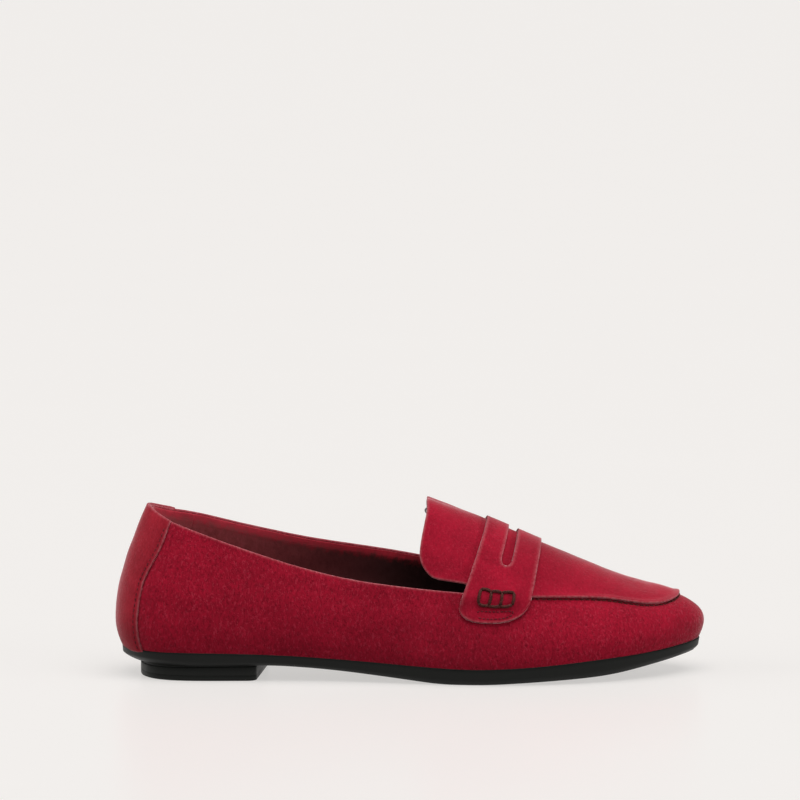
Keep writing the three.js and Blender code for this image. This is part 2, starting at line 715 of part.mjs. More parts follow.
const finish = (color, roughness, metalness = 0) => ({ color, roughness, metalness });
const SUEDE = finish(0x92182c, 0.95);
const SUEDE_LINING = finish(0x4a1018, 0.9);
const LEATHER_LINING = finish(0x3c1c18, 0.7);
const RUBBER = finish(0x161817, 0.55);
const THREAD_RED = finish(0x6a1020, 0.8);
const THREAD_DARK = finish(0x2a0c10, 0.8);
const FIBRE = finish(0xa89878, 0.9);
const FOAM = finish(0xd8cfc0, 0.95);
const STEEL = finish(0xb8bcc0, 0.35, 1);

const loafer = new THREE.Group();
const shoe = new THREE.Group();
loafer.add(shoe);

function add(name, geometry, look) {
  const mesh = new THREE.Mesh(geometry, new THREE.MeshStandardMaterial(look));
  mesh.name = name;
  shoe.add(mesh);
  return mesh;
}

add('vamp_wrap', vampWrap(), SUEDE);
add('heel_patch', heelPatch(), SUEDE);
add('apron', apron(), SUEDE);
add('tongue', tonguePiece(APRON, 0), SUEDE);
add('penny_strap', pennyStrap(), SUEDE);

add('tongue_lining', tonguePiece(TONGUE_LINING, 1), LEATHER_LINING);
add('vamp_lining', vampLining(), LEATHER_LINING);
add('lateral_quarter_lining', band(1.93, 5.95, 16, 5, LINING, aboveBoard, belowCollar), LEATHER_LINING);
add('medial_quarter_lining', band(14.05, 18.07, 16, 5, LINING, aboveBoard, belowCollar), LEATHER_LINING);
add('heel_lining', heelLining(), SUEDE_LINING);
add('toe_puff', toePuff(), FIBRE);
add('heel_counter', heelCounter(), FIBRE);
add('lateral_topline_tape', toplineTape(0.05, 5.9), FOAM);
add('medial_topline_tape', toplineTape(14.1, 19.95), FOAM);

add('insole_board', insoleBoard(), FIBRE);
add('bottom_filler', bottomFiller(), FIBRE);
add('shank', shank(), STEEL);
add('heel_pad', cushion(0, 3.6, 14), FOAM);
add('forefoot_cushion', cushion(3.62, TOE, 26), FOAM);
add('sock_lining', sockLining(), LEATHER_LINING);
add('outsole', outsole(), RUBBER);
add('heel_block', heelBlock(), RUBBER);
add('heel_top_piece', heelTopPiece(), RUBBER);
NAIL_PLACES.forEach((place, k) => add(`heel_nail_${k + 1}`, heelNail(place), STEEL));

add('apron_seam_thread', apronSeamThread(), THREAD_DARK);
for (const [side, name] of [[-1, 'lateral'], [1, 'medial']]) {
  add(`strap_stitch_${name}`, strapStitch(side), THREAD_DARK);
  add(`strap_edge_thread_${name}`, strapEdgeThread(side), THREAD_RED);
  add(`heel_seam_thread_${name}`, heelSeamThread(-side), THREAD_RED);
}

const stud = tongueStud();
const studMesh = add('tongue_stud', stud.geometry, STEEL);
studMesh.position.copy(stud.place);
studMesh.quaternion.copy(stud.turn);

// Put the origin on the ground under the middle of the shoe.
const bounds = new THREE.Box3().setFromObject(loafer);
const middle = bounds.getCenter(new THREE.Vector3());
shoe.position.set(-middle.x, -middle.y, -bounds.min.z);

export default loafer;
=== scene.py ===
"""Looks of a women's penny loafer: red suede upper, dark linings and a black rubber bottom.

Every upper piece lies on the surface of the last, as in the CAD part. The surface runs round the
shoe in twenty stations (0 heel back, 1..9 outer side, 10 toe tip, 11..19 inner side) and rises in
each one from the feather edge to the ridge of the instep. Lengths on the last are in millimetres.
"""
from math import cos, pi, radians, sin

import bpy
import numpy as np
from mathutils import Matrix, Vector, kdtree


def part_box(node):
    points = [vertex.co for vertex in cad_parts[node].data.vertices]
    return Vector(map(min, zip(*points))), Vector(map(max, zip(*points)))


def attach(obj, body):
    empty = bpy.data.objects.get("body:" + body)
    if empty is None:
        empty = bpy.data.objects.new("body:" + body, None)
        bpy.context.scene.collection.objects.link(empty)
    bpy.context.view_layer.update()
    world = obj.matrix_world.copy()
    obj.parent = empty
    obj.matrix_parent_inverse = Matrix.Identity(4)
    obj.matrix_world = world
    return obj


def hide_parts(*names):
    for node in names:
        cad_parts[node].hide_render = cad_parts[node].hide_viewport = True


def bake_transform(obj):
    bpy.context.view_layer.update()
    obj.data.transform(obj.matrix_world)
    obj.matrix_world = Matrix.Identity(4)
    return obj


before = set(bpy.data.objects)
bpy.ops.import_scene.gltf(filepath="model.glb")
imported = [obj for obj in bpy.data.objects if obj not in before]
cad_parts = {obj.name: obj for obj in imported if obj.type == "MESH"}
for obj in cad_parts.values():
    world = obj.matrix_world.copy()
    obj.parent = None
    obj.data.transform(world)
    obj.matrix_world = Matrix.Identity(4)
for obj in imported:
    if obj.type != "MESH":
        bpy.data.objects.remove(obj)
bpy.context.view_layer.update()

MM = 0.001

# -------- the last

# Feather point, two handles (distance inward, height), top of the section, height of the edge.
STATIONS = [
    ((4.8, 0, 12.2), (-9.3, 25), (-0.6, 54.6), (22, 0, 90), 75.5),
    ((11.5, -18, 12.2), (-8.6, 25.4), (0, 54), (32, -6, 92), 71.5),
    ((31, -26.5, 12.2), (-7, 26), (1, 52), (42, -11, 94), 66.5),
    ((62, -27, 11.6), (-6, 25), (0, 48), (64, -13, 95), 57.2),
    ((95, -27.5, 9.9), (-7, 24), (-7.5, 46), (95, 0, 94), 48),
    ((128, -32.5, 7.7), (-8, 26), (6, 81.3), (128, -1, 81.3), 43.2),
    ((158, -37.5, 6.4), (-8.5, 27), (14, 70), (158, 0, 70), 40.6),
    ((188, -36.5, 7.6), (-8, 25), (15, 57.3), (188, 1.5, 57.3), 38),
    ((216, -29, 9.9), (-7.5, 26), (14, 45.4), (216, 4, 45.2), 35.9),
    ((241.5, -14.5, 12.4), (-8.2, 30), (10, 37), (229, 6, 40.3), 32.2),
    ((259.5, 8, 14.9), (-9.8, 31), (11.8, 35.8), (229, 6, 40.3), 34.3),
    ((243, 27.5, 12.5), (-8.2, 30), (10, 37), (229, 6, 40.3), 32.4),
    ((216, 36, 9.9), (-7.5, 26), (13, 45.4), (216, 4, 45.2), 35.9),
    ((188, 39.5, 7.6), (-7, 25), (17, 57.3), (188, 1.5, 57.3), 38.6),
    ((158, 36, 6.4), (-7, 27), (14, 70), (158, 0, 70), 44),
    ((128, 28, 7.7), (-8, 28), (4, 81.3), (128, -1, 81.3), 50.8),
    ((95, 22.5, 9.9), (-8, 28), (-9.5, 48), (95, 0, 94), 56.6),
    ((62, 24.5, 11.6), (-7, 26), (-1, 50), (64, 12, 95), 62.9),
    ((31, 26.5, 12.2), (-7, 26), (1, 52), (42, 11, 94), 69.4),
    ((11.5, 18, 12.2), (-8.6, 25.4), (0, 54), (32, 6, 92), 72.8),
]
AROUND = len(STATIONS)
TOE = AROUND / 2
# At the toe end of the ridge: its slope, the x where that takes over, and radii for the dome.
RIDGE_SLOPE_AT_TOE = -0.28
RIDGE_BLEND_X = (214, 227)
DOME_BLEND = (5, 13)
DOME_RING = (8, 15)


def controls_through(points):
    """Control points of the closed cubic B-spline that passes through the points."""
    points = np.array(points, float)
    controls = points.copy()
    for _ in range(40):
        beside = np.roll(controls, 1, 0) + np.roll(controls, -1, 0)
        controls = (6 * points - beside) / 4
    return controls


def spline_at(controls, s):
    s = np.asarray(s, float)
    index = np.floor(s).astype(int)
    f = s - index
    weights = (
        (1 - f) ** 3,
        3 * f ** 3 - 6 * f ** 2 + 4,
        -3 * f ** 3 + 3 * f ** 2 + 3 * f + 1,
        f ** 3,
    )
    total = 0
    for k, weight in enumerate(weights):
        control = controls[(index - 1 + k) % len(controls)]
        total = total + (weight[..., None] if controls.ndim > 1 else weight) * control / 6
    return total


def handle(foot, top, reach):
    """Point of a handle, from its distance inward from the foot and its height."""
    foot, top = np.array(foot[:2], float), np.array(top[:2], float)
    inward = (top - foot) / np.linalg.norm(top - foot)
    return (*(foot + inward * reach[0]), reach[1])


FOOT = controls_through([foot for foot, *_ in STATIONS])
LOW = controls_through([handle(foot, top, low) for foot, low, _, top, _ in STATIONS])
HIGH = controls_through([handle(foot, top, high) for foot, _, high, top, _ in STATIONS])
TOP = controls_through([top for *_, top, _ in STATIONS])
EDGE = controls_through([edge for *_, edge in STATIONS])


def surface(s, v):
    v = np.asarray(v, float)[..., None]
    w = 1 - v
    low_part = spline_at(FOOT, s) * w ** 3 + spline_at(LOW, s) * 3 * v * w ** 2
    return low_part + spline_at(HIGH, s) * 3 * v ** 2 * w + spline_at(TOP, s) * v ** 3


def unit(vectors):
    return vectors / np.maximum(np.linalg.norm(vectors, axis=-1, keepdims=True), 1e-12)


def normal(s, v):
    """Outward normal. On the ridge both sides share one that only leans with the ridge's slope."""
    s, v = np.broadcast_arrays(s, v)
    step = 0.002
    below = np.minimum(v, 0.998)
    along = surface(s + step, below) - surface(s - step, below)
    upward = surface(s, below + step) - surface(s, below - step)
    side = unit(np.cross(along, upward))
    ridge = spline_at(TOP, s + step) - spline_at(TOP, s - step)
    run = np.where(np.abs(ridge[..., 0]) < 1e-9, 1, ridge[..., 0])
    slope = np.clip(ridge[..., 2] / run, -1, 1)
    slope = mix(slope, RIDGE_SLOPE_AT_TOE, smooth(*RIDGE_BLEND_X, spline_at(TOP, s)[..., 0]))
    crest = unit(np.stack([-slope, 0 * slope, 1 + 0 * slope], -1))
    near_ridge = smooth(0.9, 1, v)[..., None]
    return unit(side * (1 - near_ridge) + crest * near_ridge)


RIDGE_END = surface(TOE, 1.0)[:2]


def from_ridge_end(points):
    return np.linalg.norm(points[..., :2] - RIDGE_END, axis=-1)


def quadratic_terms(points):
    x, y = np.moveaxis(points[..., :2] - RIDGE_END, -1, 0)
    return np.stack([np.ones_like(x), x, y, x * x, x * y, y * y], -1)


def ridge_end_shape():
    """Coefficients of the gentle dome that fits the ring round the toe end of the ridge."""
    s, v = np.meshgrid(np.linspace(6.5, 13.5, 141), np.linspace(0.5, 1, 51))
    points = surface(s, v)
    distance = from_ridge_end(points)
    ring = points[(distance > DOME_RING[0]) & (distance < DOME_RING[1])]
    return np.linalg.lstsq(quadratic_terms(ring), ring[:, 2], rcond=None)[0]


def domed(points):
    """Points of the last with the small peak where all the toe's sections meet rounded off."""
    dome = quadratic_terms(points) @ ridge_end_shape()
    heights = mix(dome, points[..., 2], smooth(*DOME_BLEND, from_ridge_end(points)))
    return np.concatenate([points[..., :2], heights[..., None]], -1)


def on_last(s, v, offset):
    """Points some way out of the last's surface, in millimetres."""
    return surface(s, v) + normal(s, v) * np.asarray(offset, float)[..., None]


def smooth(start, end, value):
    t = np.clip((value - start) / (end - start), 0, 1)
    return t * t * (3 - 2 * t)


def mix(a, b, t):
    return a + (b - a) * t


def solve(rising, target, low, high):
    """Value between low and high where a rising function reaches the target."""
    target = np.asarray(target, float)
    low, high = np.full(target.shape, float(low)), np.full(target.shape, float(high))
    for _ in range(30):
        middle = (low + high) / 2
        under = rising(middle) < target
        low, high = np.where(under, middle, low), np.where(under, high, middle)
    return (low + high) / 2


def height_at(s, v):
    return surface(s, v)[..., 2]


def v_at_height(s, z):
    s, z = np.broadcast_arrays(s, z)
    return solve(lambda v: height_at(s, v), z, 0, 1)


def above_feather(s, height):
    return v_at_height(s, spline_at(FOOT, s)[..., 2] + height)


def station_at_x(x):
    """Station of the outer side whose top is at x."""
    return solve(lambda s: spline_at(TOP, s)[..., 0], x, 4.5, 9)


def edge_height(s):
    return spline_at(EDGE, s)


def at_edge(s, below=0.0):
    """The line where collar and apron meet the wrap, or one some millimetres below it."""
    return v_at_height(s, edge_height(s) - below)


def side_station(station, across):
    """The same place on the outer side (across < 0) or on the inner side."""
    return np.where(np.asarray(across) < 0, station, AROUND - station)


def climb(s, v):
    """Millimetres along the surface for each unit of v."""
    return np.linalg.norm(surface(s, v) - surface(s, v - 0.01), axis=-1) / 0.01


def foot_outward(s):
    foot, low = spline_at(FOOT, s), spline_at(LOW, s)
    return unit((low - foot) * (1, 1, 0))


def even_across(count, ends=0.6):
    """Shares from -1 to 1, closer together near both ends."""
    t = np.linspace(-1, 1, count)
    return t + ends * np.sin(pi * t) / pi


def even_share(count, ends=0.6):
    return 0.5 + 0.5 * even_across(count, ends)


# Feather height by distance from the heel, for pieces of the bottom.
FEATHER_LINE = spline_at(FOOT, np.linspace(0, TOE, 400))


def feather_z(x):
    return np.interp(x, FEATHER_LINE[:, 0], FEATHER_LINE[:, 2])


def frame_shift():
    """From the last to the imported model's frame: the outsole's outline is the feather line."""
    low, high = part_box("outsole")
    line = spline_at(FOOT, np.linspace(0, AROUND, 800))
    x = low[0] / MM - line[:, 0].min()
    y = (low[1] + high[1]) / 2 / MM - (line[:, 1].min() + line[:, 1].max()) / 2
    return np.array([x, y, 0])


SHIFT = frame_shift()


def to_frame(points):
    return (np.asarray(points, float) + SHIFT) * MM


# -------- meshes

# Reach of the "edge" attribute, and how far a rim bulges as a share of half the thickness.
EDGE_REACH = 0.55
RIM_ROUNDING = 0.8
# Depth of a thread's twisted grooves as a share of its radius, and depth of a stitch's ends.
PLY_DEPTH = 0.13
STITCH_SINK = 0.35


def added(name, data):
    """New object in the scene."""
    obj = bpy.data.objects.new(name, data)
    bpy.context.scene.collection.objects.link(obj)
    return obj


def new_object(name, points, faces):
    """Object with outward normals and smooth shading, from points on the last in millimetres."""
    mesh = bpy.data.meshes.new(name)
    mesh.from_pydata(to_frame(points).tolist(), [], faces)
    triangles = [(face[0], b, c) for face in faces for b, c in zip(face[1:], face[2:])]
    a, b, c = np.moveaxis(points[np.array(triangles)], 1, 0)
    volume = np.einsum("ij,ij->i", a, np.cross(b, c)).sum()
    if volume < 0:
        mesh.flip_normals()
    mesh.shade_smooth()
    return added(name, mesh)


def merged(points):
    """Index of the first of each set of equal points and, for each point, the number of its set."""
    rounded = np.round(points, 4) + 0.0
    _, first, number = np.unique(rounded, axis=0, return_index=True, return_inverse=True)
    return first, number.reshape(-1)


def quads_of(ids):
    return np.stack([ids[:-1, :-1], ids[1:, :-1], ids[1:, 1:], ids[:-1, 1:]], -1).reshape(-1, 4)


def clean_faces(quads):
    """Faces without repeated corners, as lists."""
    faces = []
    for quad in quads.tolist():
        face = [corner for k, corner in enumerate(quad) if corner != quad[k - 1]]
        if len(face) > 2 and len(set(face)) == len(face):
            faces.append(face)
    return faces


def free_edges(quads):
    """Directed edges that only one face has."""
    edges = np.concatenate([quads[:, [k, (k + 1) % 4]] for k in range(4)])
    edges = edges[edges[:, 0] != edges[:, 1]]
    size = edges.max() + 1
    keys = edges[:, 0] * size + edges[:, 1]
    back = edges[:, 1] * size + edges[:, 0]
    return edges[~np.isin(keys, back)]


def rim_outward(points, up, edges):
    """Directions out of a sheet's free edges, for all its points: zero for those not on an edge."""
    a, b = edges.T
    aside = np.cross(unit(points[b] - points[a]), up[a])
    out = np.zeros_like(points)
    np.add.at(out, a, aside)
    np.add.at(out, b, aside)
    return unit(out)


def thin_solid(name, outer, inner, keep=None, steps=5):
    """Closed thin solid between two grids of points, rounded along every free edge.

    The vertex attribute "edge" is 1 on those edges and fades within EDGE_REACH or so.
    """
    rows, columns = outer.shape[:2]
    pairs = np.concatenate([outer.reshape(-1, 3), inner.reshape(-1, 3)], 1)
    first, number = merged(pairs)
    outer_points, inner_points = pairs[first, :3], pairs[first, 3:]
    count = len(first)
    quads = quads_of(number.reshape(rows, columns))
    if keep is not None:
        quads = quads[keep.reshape(-1)]
    edges = free_edges(quads)

    across = outer_points - inner_points
    half = np.linalg.norm(across, axis=1, keepdims=True) / 2
    up = across / np.maximum(2 * half, 1e-9)
    out = rim_outward(outer_points, up, edges)
    middle = (outer_points + inner_points) / 2

    points = [outer_points, inner_points]
    rim = np.unique(edges)
    place_on_rim = np.zeros(count, int)
    place_on_rim[rim] = np.arange(len(rim))
    rings = [np.arange(count)]
    for k in range(1, steps):
        turn = pi * k / steps
        ring = middle + up * cos(turn) * half + out * sin(turn) * half * RIM_ROUNDING
        points.append(ring[rim])
        rings.append(2 * count + (k - 1) * len(rim) + place_on_rim)
    rings.append(np.arange(count) + count)
    faces = clean_faces(quads) + clean_faces(quads[:, ::-1] + count)
    a, b = edges.T
    for near, far in zip(rings, rings[1:]):
        faces += np.stack([near[b], near[a], far[a], far[b]], 1).tolist()

    obj = new_object(name, np.concatenate(points), faces)
    mark_near(obj, "edge", np.concatenate(points[2:]), EDGE_REACH)
    return obj


def mark_near(obj, attribute, places, reach):
    """Vertex attribute that is 1 at the given places and fades over a reach in millimetres."""
    tree = kdtree.KDTree(len(places))
    for index, place in enumerate(to_frame(places).tolist()):
        tree.insert(place, index)
    tree.balance()
    mesh = obj.data
    distances = np.array([tree.find(vertex.co)[2] for vertex in mesh.vertices]) / MM
    values = np.exp(-(distances / reach) ** 2)
    mesh.attributes.new(attribute, "FLOAT", "POINT").data.foreach_set("value", values)


def closed_solid(name, grids):
    """One solid from grids of points that meet along their borders."""
    points = np.concatenate([grid.reshape(-1, 3) for grid in grids])
    first, number = merged(points)
    faces, start = [], 0
    for grid in grids:
        rows, columns = grid.shape[:2]
        ids = number[start:start + rows * columns].reshape(rows, columns)
        faces += clean_faces(quads_of(ids))
        start += rows * columns
    return new_object(name, points[first], faces)


def tube_faces(rings, around, start=0):
    """Faces of a tube of rings of points, closed at both its ends."""
    ids = start + np.arange(rings * around).reshape(rings, around)
    sides = quads_of(np.concatenate([ids, ids[:, :1]], 1).T)
    return [*sides.tolist(), ids[0, ::-1].tolist(), ids[-1].tolist()]


def cross_directions(points):
    """Two directions across a line at each of its points, without twist."""
    tangents = unit(np.gradient(points, axis=0))
    side = np.cross(tangents[0], (0.3, 0.5, 0.81))
    sides = []
    for tangent in tangents:
        side = side - tangent * np.dot(side, tangent)
        side = side / np.linalg.norm(side)
        sides.append(side)
    sides = np.array(sides)
    return sides, np.cross(tangents, sides)


def distances_along(line):
    """Distance of each point from the line's start."""
    return np.concatenate([[0], np.cumsum(np.linalg.norm(np.diff(line, axis=0), axis=1))])


def strand(name, lines, radius, plies=3, twist=2.0, sides=10):
    """Twisted threads along lines of points, tapered at both ends. Twist is a turn's length."""
    points, faces = [], []
    start = 0
    for line in lines:
        side, up = cross_directions(line)
        along = distances_along(line)
        taper = np.sqrt(np.clip(np.minimum(along, along[-1] - along) / (radius * 0.8), 0.04, 1))
        angle = np.linspace(0, 2 * pi, sides, endpoint=False)
        groove = np.cos(plies * angle - 2 * pi * along[:, None] / twist)
        reach = radius * taper[:, None] * (1 + PLY_DEPTH * groove)
        ring = side[:, None] * (np.cos(angle) * reach)[..., None]
        ring = ring + up[:, None] * (np.sin(angle) * reach)[..., None]
        points.append((line[:, None] + ring).reshape(-1, 3))
        faces += tube_faces(len(line), sides, start)
        start += len(line) * sides
    return new_object(name, np.concatenate(points), faces)


def running_stitches(name, path, normals, pitch, gap, radius):
    """Row of separate stitches along a path: each one rises out of the leather and dives back in."""
    along = distances_along(path)

    def at(values, place):
        return np.stack([np.interp(place, along, values[:, k]) for k in range(3)], -1)

    lines = []
    for k in range(int(along[-1] / pitch)):
        place = k * pitch + np.linspace(gap / 2, pitch - gap / 2, 9)
        share = np.linspace(-1, 1, 9)
        height = radius * 0.6 - (STITCH_SINK + radius) * share ** 4
        lines.append(at(path, place) + unit(at(normals, place)) * height[:, None])
    return strand(name, lines, radius, plies=2, twist=1.2, sides=8)


# -------- materials

class Nodes:
    """Small helper for building a node material. Inputs are named with underscores for spaces."""

    def __init__(self, name):
        self.material = bpy.data.materials.new(name)
        self.material.use_nodes = True
        self.tree = self.material.node_tree
        self.place = self.add("TexCoord").outputs["Object"]

    def join(self, source, socket):
        """Link another node's output to the socket, or set it to a number, vector or colour."""
        if isinstance(source, bpy.types.NodeSocket):
            self.tree.links.new(source, socket)
        elif socket.type == "RGBA":
            socket.default_value = (*source, 1)
        else:
            socket.default_value = source

    def join_all(self, node, inputs):
        for name, source in inputs.items():
            self.join(source, node.inputs[name.replace("_", " ")])

    def add(self, kind, **inputs):
        node = self.tree.nodes.new("ShaderNode" + kind)
        self.join_all(node, inputs)
        return node

    def mapped(self, stretch, start=(0, 0, 0)):
        """Places in the object for a texture, stretched and moved."""
        node = self.add("Mapping", Vector=self.place, Scale=stretch, Location=start)
        return node.outputs["Vector"]

    def noise(self, scale, detail=3, roughness=0.55, distortion=0, place=None):
        node = self.add("TexNoise", Vector=place or self.place, Scale=scale, Detail=detail,
                        Roughness=roughness, Distortion=distortion)
        return node.outputs["Fac"]

    def voronoi(self, scale, place=None):
        return self.add("TexVoronoi", Vector=place or self.place, Scale=scale).outputs["Distance"]

    def position(self, axis):
        return self.add("SeparateXYZ", Vector=self.place).outputs[axis]

    def map_range(self, source, start, end):
        """0 to 1, smoothly, while the source goes from start to end."""
        node = self.add("MapRange", Value=source, From_Min=start, From_Max=end)
        node.interpolation_type = "SMOOTHSTEP"
        return node.outputs["Result"]

    def attribute(self, name):
        node = self.add("Attribute")
        node.attribute_name = name
        return node.outputs["Fac"]

    def ramp(self, source, low, high, dark, light):
        """Colour from dark to light while the source goes from low to high."""
        node = self.add("ValToRGB", Fac=source)
        for element, position, color in zip(node.color_ramp.elements, (low, high), (dark, light)):
            element.position = position
            element.color = (*color, 1)
        return node.outputs["Color"]

    def shades(self, source, low, high, dark, light):
        """Grey from dark to light while the source goes from low to high."""
        return self.ramp(source, low, high, (dark,) * 3, (light,) * 3)

    def shaded(self, color, source, low, high, dark, light, share=1.0):
        """The colour multiplied by such a grey."""
        grey = self.shades(source, low, high, dark, light)
        return self.mix_color(share, color, grey, "MULTIPLY")

    def hairs(self, scale, start, width):
        """Short thin curved strokes, brushed upright: broken pieces of a noise's middle contour."""
        place = self.mapped((1, 1, 0.55), start)
        contour = self.noise(scale, detail=1.5, roughness=0.6, distortion=1.2, place=place)
        level = self.math("ABSOLUTE", self.math("SUBTRACT", contour, 0.5))
        line = self.shades(level, width * 0.3, width, 1, 0)
        breaks = self.noise(scale * 2.1, detail=2, place=place)
        return self.math("MULTIPLY", line, self.shades(breaks, 0.5, 0.58, 0, 1))

    def mix_color(self, share, a, b, blend="MIX"):
        node = self.add("Mix")
        node.data_type = "RGBA"
        node.blend_type = blend
        share_input, a_input, b_input = node.inputs[0], node.inputs[6], node.inputs[7]
        for source, socket in ((share, share_input), (a, a_input), (b, b_input)):
            self.join(source, socket)
        return node.outputs[2]

    def math(self, operation, *values):
        node = self.add("Math")
        node.operation = operation
        for value, socket in zip(values, node.inputs):
            self.join(value, socket)
        return node.outputs[0]

    def bump(self, height, strength, distance, **before):
        node = self.add("Bump", Height=height, Strength=strength, Distance=distance, **before)
        return node.outputs["Normal"]

    def finish(self, color, rough, **inputs):
        """The material, with these inputs of its surface shader."""
        inputs.update(Base_Color=color, Roughness=rough)
        self.join_all(self.tree.nodes["Principled BSDF"], inputs)
        return self.material


SUEDE = (0.300, 0.0058, 0.0220)
SUEDE_EDGE = (0.370, 0.085, 0.100)
SUEDE_SHEEN = {"Sheen_Weight": 0.9, "Sheen_Roughness": 0.32, "Sheen_Tint": (1, 0.62, 0.64),
               "Specular_IOR_Level": 0.08}
DARK_HAIR = (0.140, 0.0022, 0.0095)
PALE_HAIR = (0.470, 0.036, 0.068)
# The collar band lit at the heel, and darkened ahead by painted shade.
COLLAR_BAND_LIT_AT_HEEL = (0.420, 0.032, 0.050)
COLLAR_BAND_PAINTED_SHADE_AHEAD = (0.260, 0.012, 0.022)


def suede(name, nap, patchiness, base=SUEDE):
    """Napped suede: faint brushed patches, short curved fibres, pale and dark, paler cut edges."""
    n = Nodes(name)
    patches = n.noise(45, detail=4, distortion=0.8)
    strokes = n.noise(900, roughness=0.6, distortion=0.5, place=n.mapped((1, 1, 0.6)))
    color = n.shaded(base, patches, 0.36, 0.64, 1 - patchiness, 1 + patchiness)
    color = n.shaded(color, strokes, 0.3, 0.7, 1 - 0.24 * nap, 1 + 0.24 * nap)
    dark = n.hairs(560, (3, 1, 2), 0.075)
    color = n.mix_color(n.math("MULTIPLY", dark, 0.6 * nap), color, DARK_HAIR)
    pale = n.hairs(480, (0, 5, 1), 0.06)
    color = n.mix_color(n.math("MULTIPLY", pale, 0.4 * nap), color, PALE_HAIR)
    ragged = n.shades(strokes, 0.38, 0.58, 0.3, 1)
    color = n.mix_color(n.math("MULTIPLY", n.attribute("edge"), ragged), color, SUEDE_EDGE)
    height = n.math("ADD", strokes, n.math("MULTIPLY", n.math("SUBTRACT", pale, dark), 0.4))
    normal = n.bump(height, 0.35 * nap, 0.0005)
    return n.finish(color, 0.95, Normal=normal, **SUEDE_SHEEN)


def collar_lining(name, dark, red, start, end):
    """Brushed lining with a paler fuzzy band at the collar; painted shade darkens both from red at
    the heel to dark wine ahead.
    """
    n = Nodes(name)
    nap = n.noise(420, detail=4, roughness=0.65, place=n.mapped((1, 1, 0.7)))
    uneven = n.math("SUBTRACT", nap, 0.5)
    # Painted shade: base and band darken along x from the heel forward, where less light falls into
    # the shoe.
    place = n.math("ADD", n.position("X"), n.math("MULTIPLY", uneven, 0.02))
    ahead = n.map_range(place, start, end)
    base = n.shaded(n.mix_color(ahead, red, dark), nap, 0.3, 0.7, 0.75, 1.25)
    band = n.mix_color(ahead, COLLAR_BAND_LIT_AT_HEEL, COLLAR_BAND_PAINTED_SHADE_AHEAD)
    band = n.shaded(band, nap, 0.35, 0.65, 0.8, 1.1)
    fuzz = n.math("ADD", n.attribute("collar"), n.math("MULTIPLY", uneven, 0.9))
    color = n.mix_color(n.map_range(fuzz, 0.3, 0.75), base, band)
    normal = n.bump(nap, 0.35, 0.0005)
    return n.finish(color, 0.9, Normal=normal, **SUEDE_SHEEN)


def lining_leather(name, dark, light, pore_scale=900):
    """Thin matt lining leather with fine pores and faint creases."""
    n = Nodes(name)
    color = n.ramp(n.noise(60, detail=4), 0.35, 0.7, dark, light)
    creases = n.noise(160, detail=6, roughness=0.7, place=n.mapped((1, 1, 2.5)))
    pores = n.bump(n.voronoi(pore_scale), 0.25, 0.0002)
    normal = n.bump(creases, 0.2, 0.0005, Normal=pores)
    rough = n.shades(creases, 0.3, 0.7, 0.5, 0.72)
    return n.finish(color, rough, Normal=normal, Specular_IOR_Level=0.3)


def sole_rubber(name, dark, light):
    """Moulded rubber with a satin skin, a fine grain and dusty rubbed spots."""
    n = Nodes(name)
    dust = n.noise(90, detail=5, roughness=0.65)
    color = n.ramp(dust, 0.35, 0.75, dark, light)
    rough = n.shades(dust, 0.3, 0.7, 0.36, 0.52)
    normal = n.bump(n.noise(2200, detail=2), 0.12, 0.0002)
    return n.finish(color, rough, Normal=normal, Specular_IOR_Level=0.2)


def waxed_thread(name, dark, light):
    n = Nodes(name)
    fibre = n.noise(2600)
    color = n.ramp(fibre, 0.35, 0.68, dark, light)
    normal = n.bump(fibre, 0.4, 0.0002)
    return n.finish(color, 0.6, Normal=normal, Specular_IOR_Level=0.15)


def pressed_fibre(name, dark, light):
    """Board, stiffener or felt: matted fibres with darker flecks."""
    n = Nodes(name)
    mat = n.noise(700, detail=6, roughness=0.75, distortion=1.5)
    color = n.ramp(mat, 0.3, 0.7, dark, light)
    color = n.shaded(color, n.voronoi(420), 0.05, 0.25, 0.4, 1, share=0.35)
    return n.finish(color, 0.9, Normal=n.bump(mat, 0.35, 0.0004))


def woven_tape(name, dark, light):
    n = Nodes(name)
    weave = n.voronoi(1400, n.mapped((1, 1, 1.6)))
    color = n.ramp(weave, 0.1, 0.6, light, dark)
    return n.finish(color, 0.85, Normal=n.bump(weave, 0.5, 0.0003))


def open_foam(name, dark, light):
    n = Nodes(name)
    cells = n.voronoi(1100)
    color = n.ramp(cells, 0.1, 0.5, dark, light)
    return n.finish(color, 0.95, Normal=n.bump(cells, 0.6, 0.0004))


def metal(name, tint, roughness):
    """Bare metal with fine rubbed lines."""
    n = Nodes(name)
    rubbed = n.noise(1800, place=n.mapped((1, 8, 1)))
    rough = n.shades(rubbed, 0.3, 0.7, roughness - 0.08, roughness + 0.08)
    color = n.ramp(rubbed, 0.3, 0.7, tuple(c * 0.85 for c in tint), tint)
    normal = n.bump(rubbed, 0.1, 0.0001)
    return n.finish(color, rough, Normal=normal, Metallic=1.0)


def give(obj, material):
    obj.data.materials.clear()
    obj.data.materials.append(material)


# -------- upper

# Layers are offsets out of the last's surface.
WRAP_THICKNESS = 1.3
APRON_LAYER = (0.2, 1.35)
PATCH_LAYER = (0.05, 0.95)
TONGUE_LINING_LAYER = (-0.8, 0.12)
APRON_LAP = 5
LAP_BLEND_X = (162, 172)
PATCH_FRONT_STATION = (1.11, 1.32)
PATCH_FOOT = 0.012


def paced(count):
    """Stations all the way round, closer together at the heel and at the toe."""
    share = np.linspace(0, 1, count)
    turn = 4 * pi
    return AROUND * (share - 0.35 * np.sin(turn * share) / turn)


def ripple(points, size):
    """Slow unevenness in millimetres, the same on every run."""
    x, y, z = np.moveaxis(points, -1, 0)
    waves = np.sin(0.115 * x + 0.21 * z) * np.sin(0.19 * z - 0.07 * x + 0.05 * y)
    fine = np.sin(0.37 * x - 0.29 * z) * np.sin(0.31 * z + 0.23 * x + 0.17 * y)
    return size * (waves + 0.35 * fine)


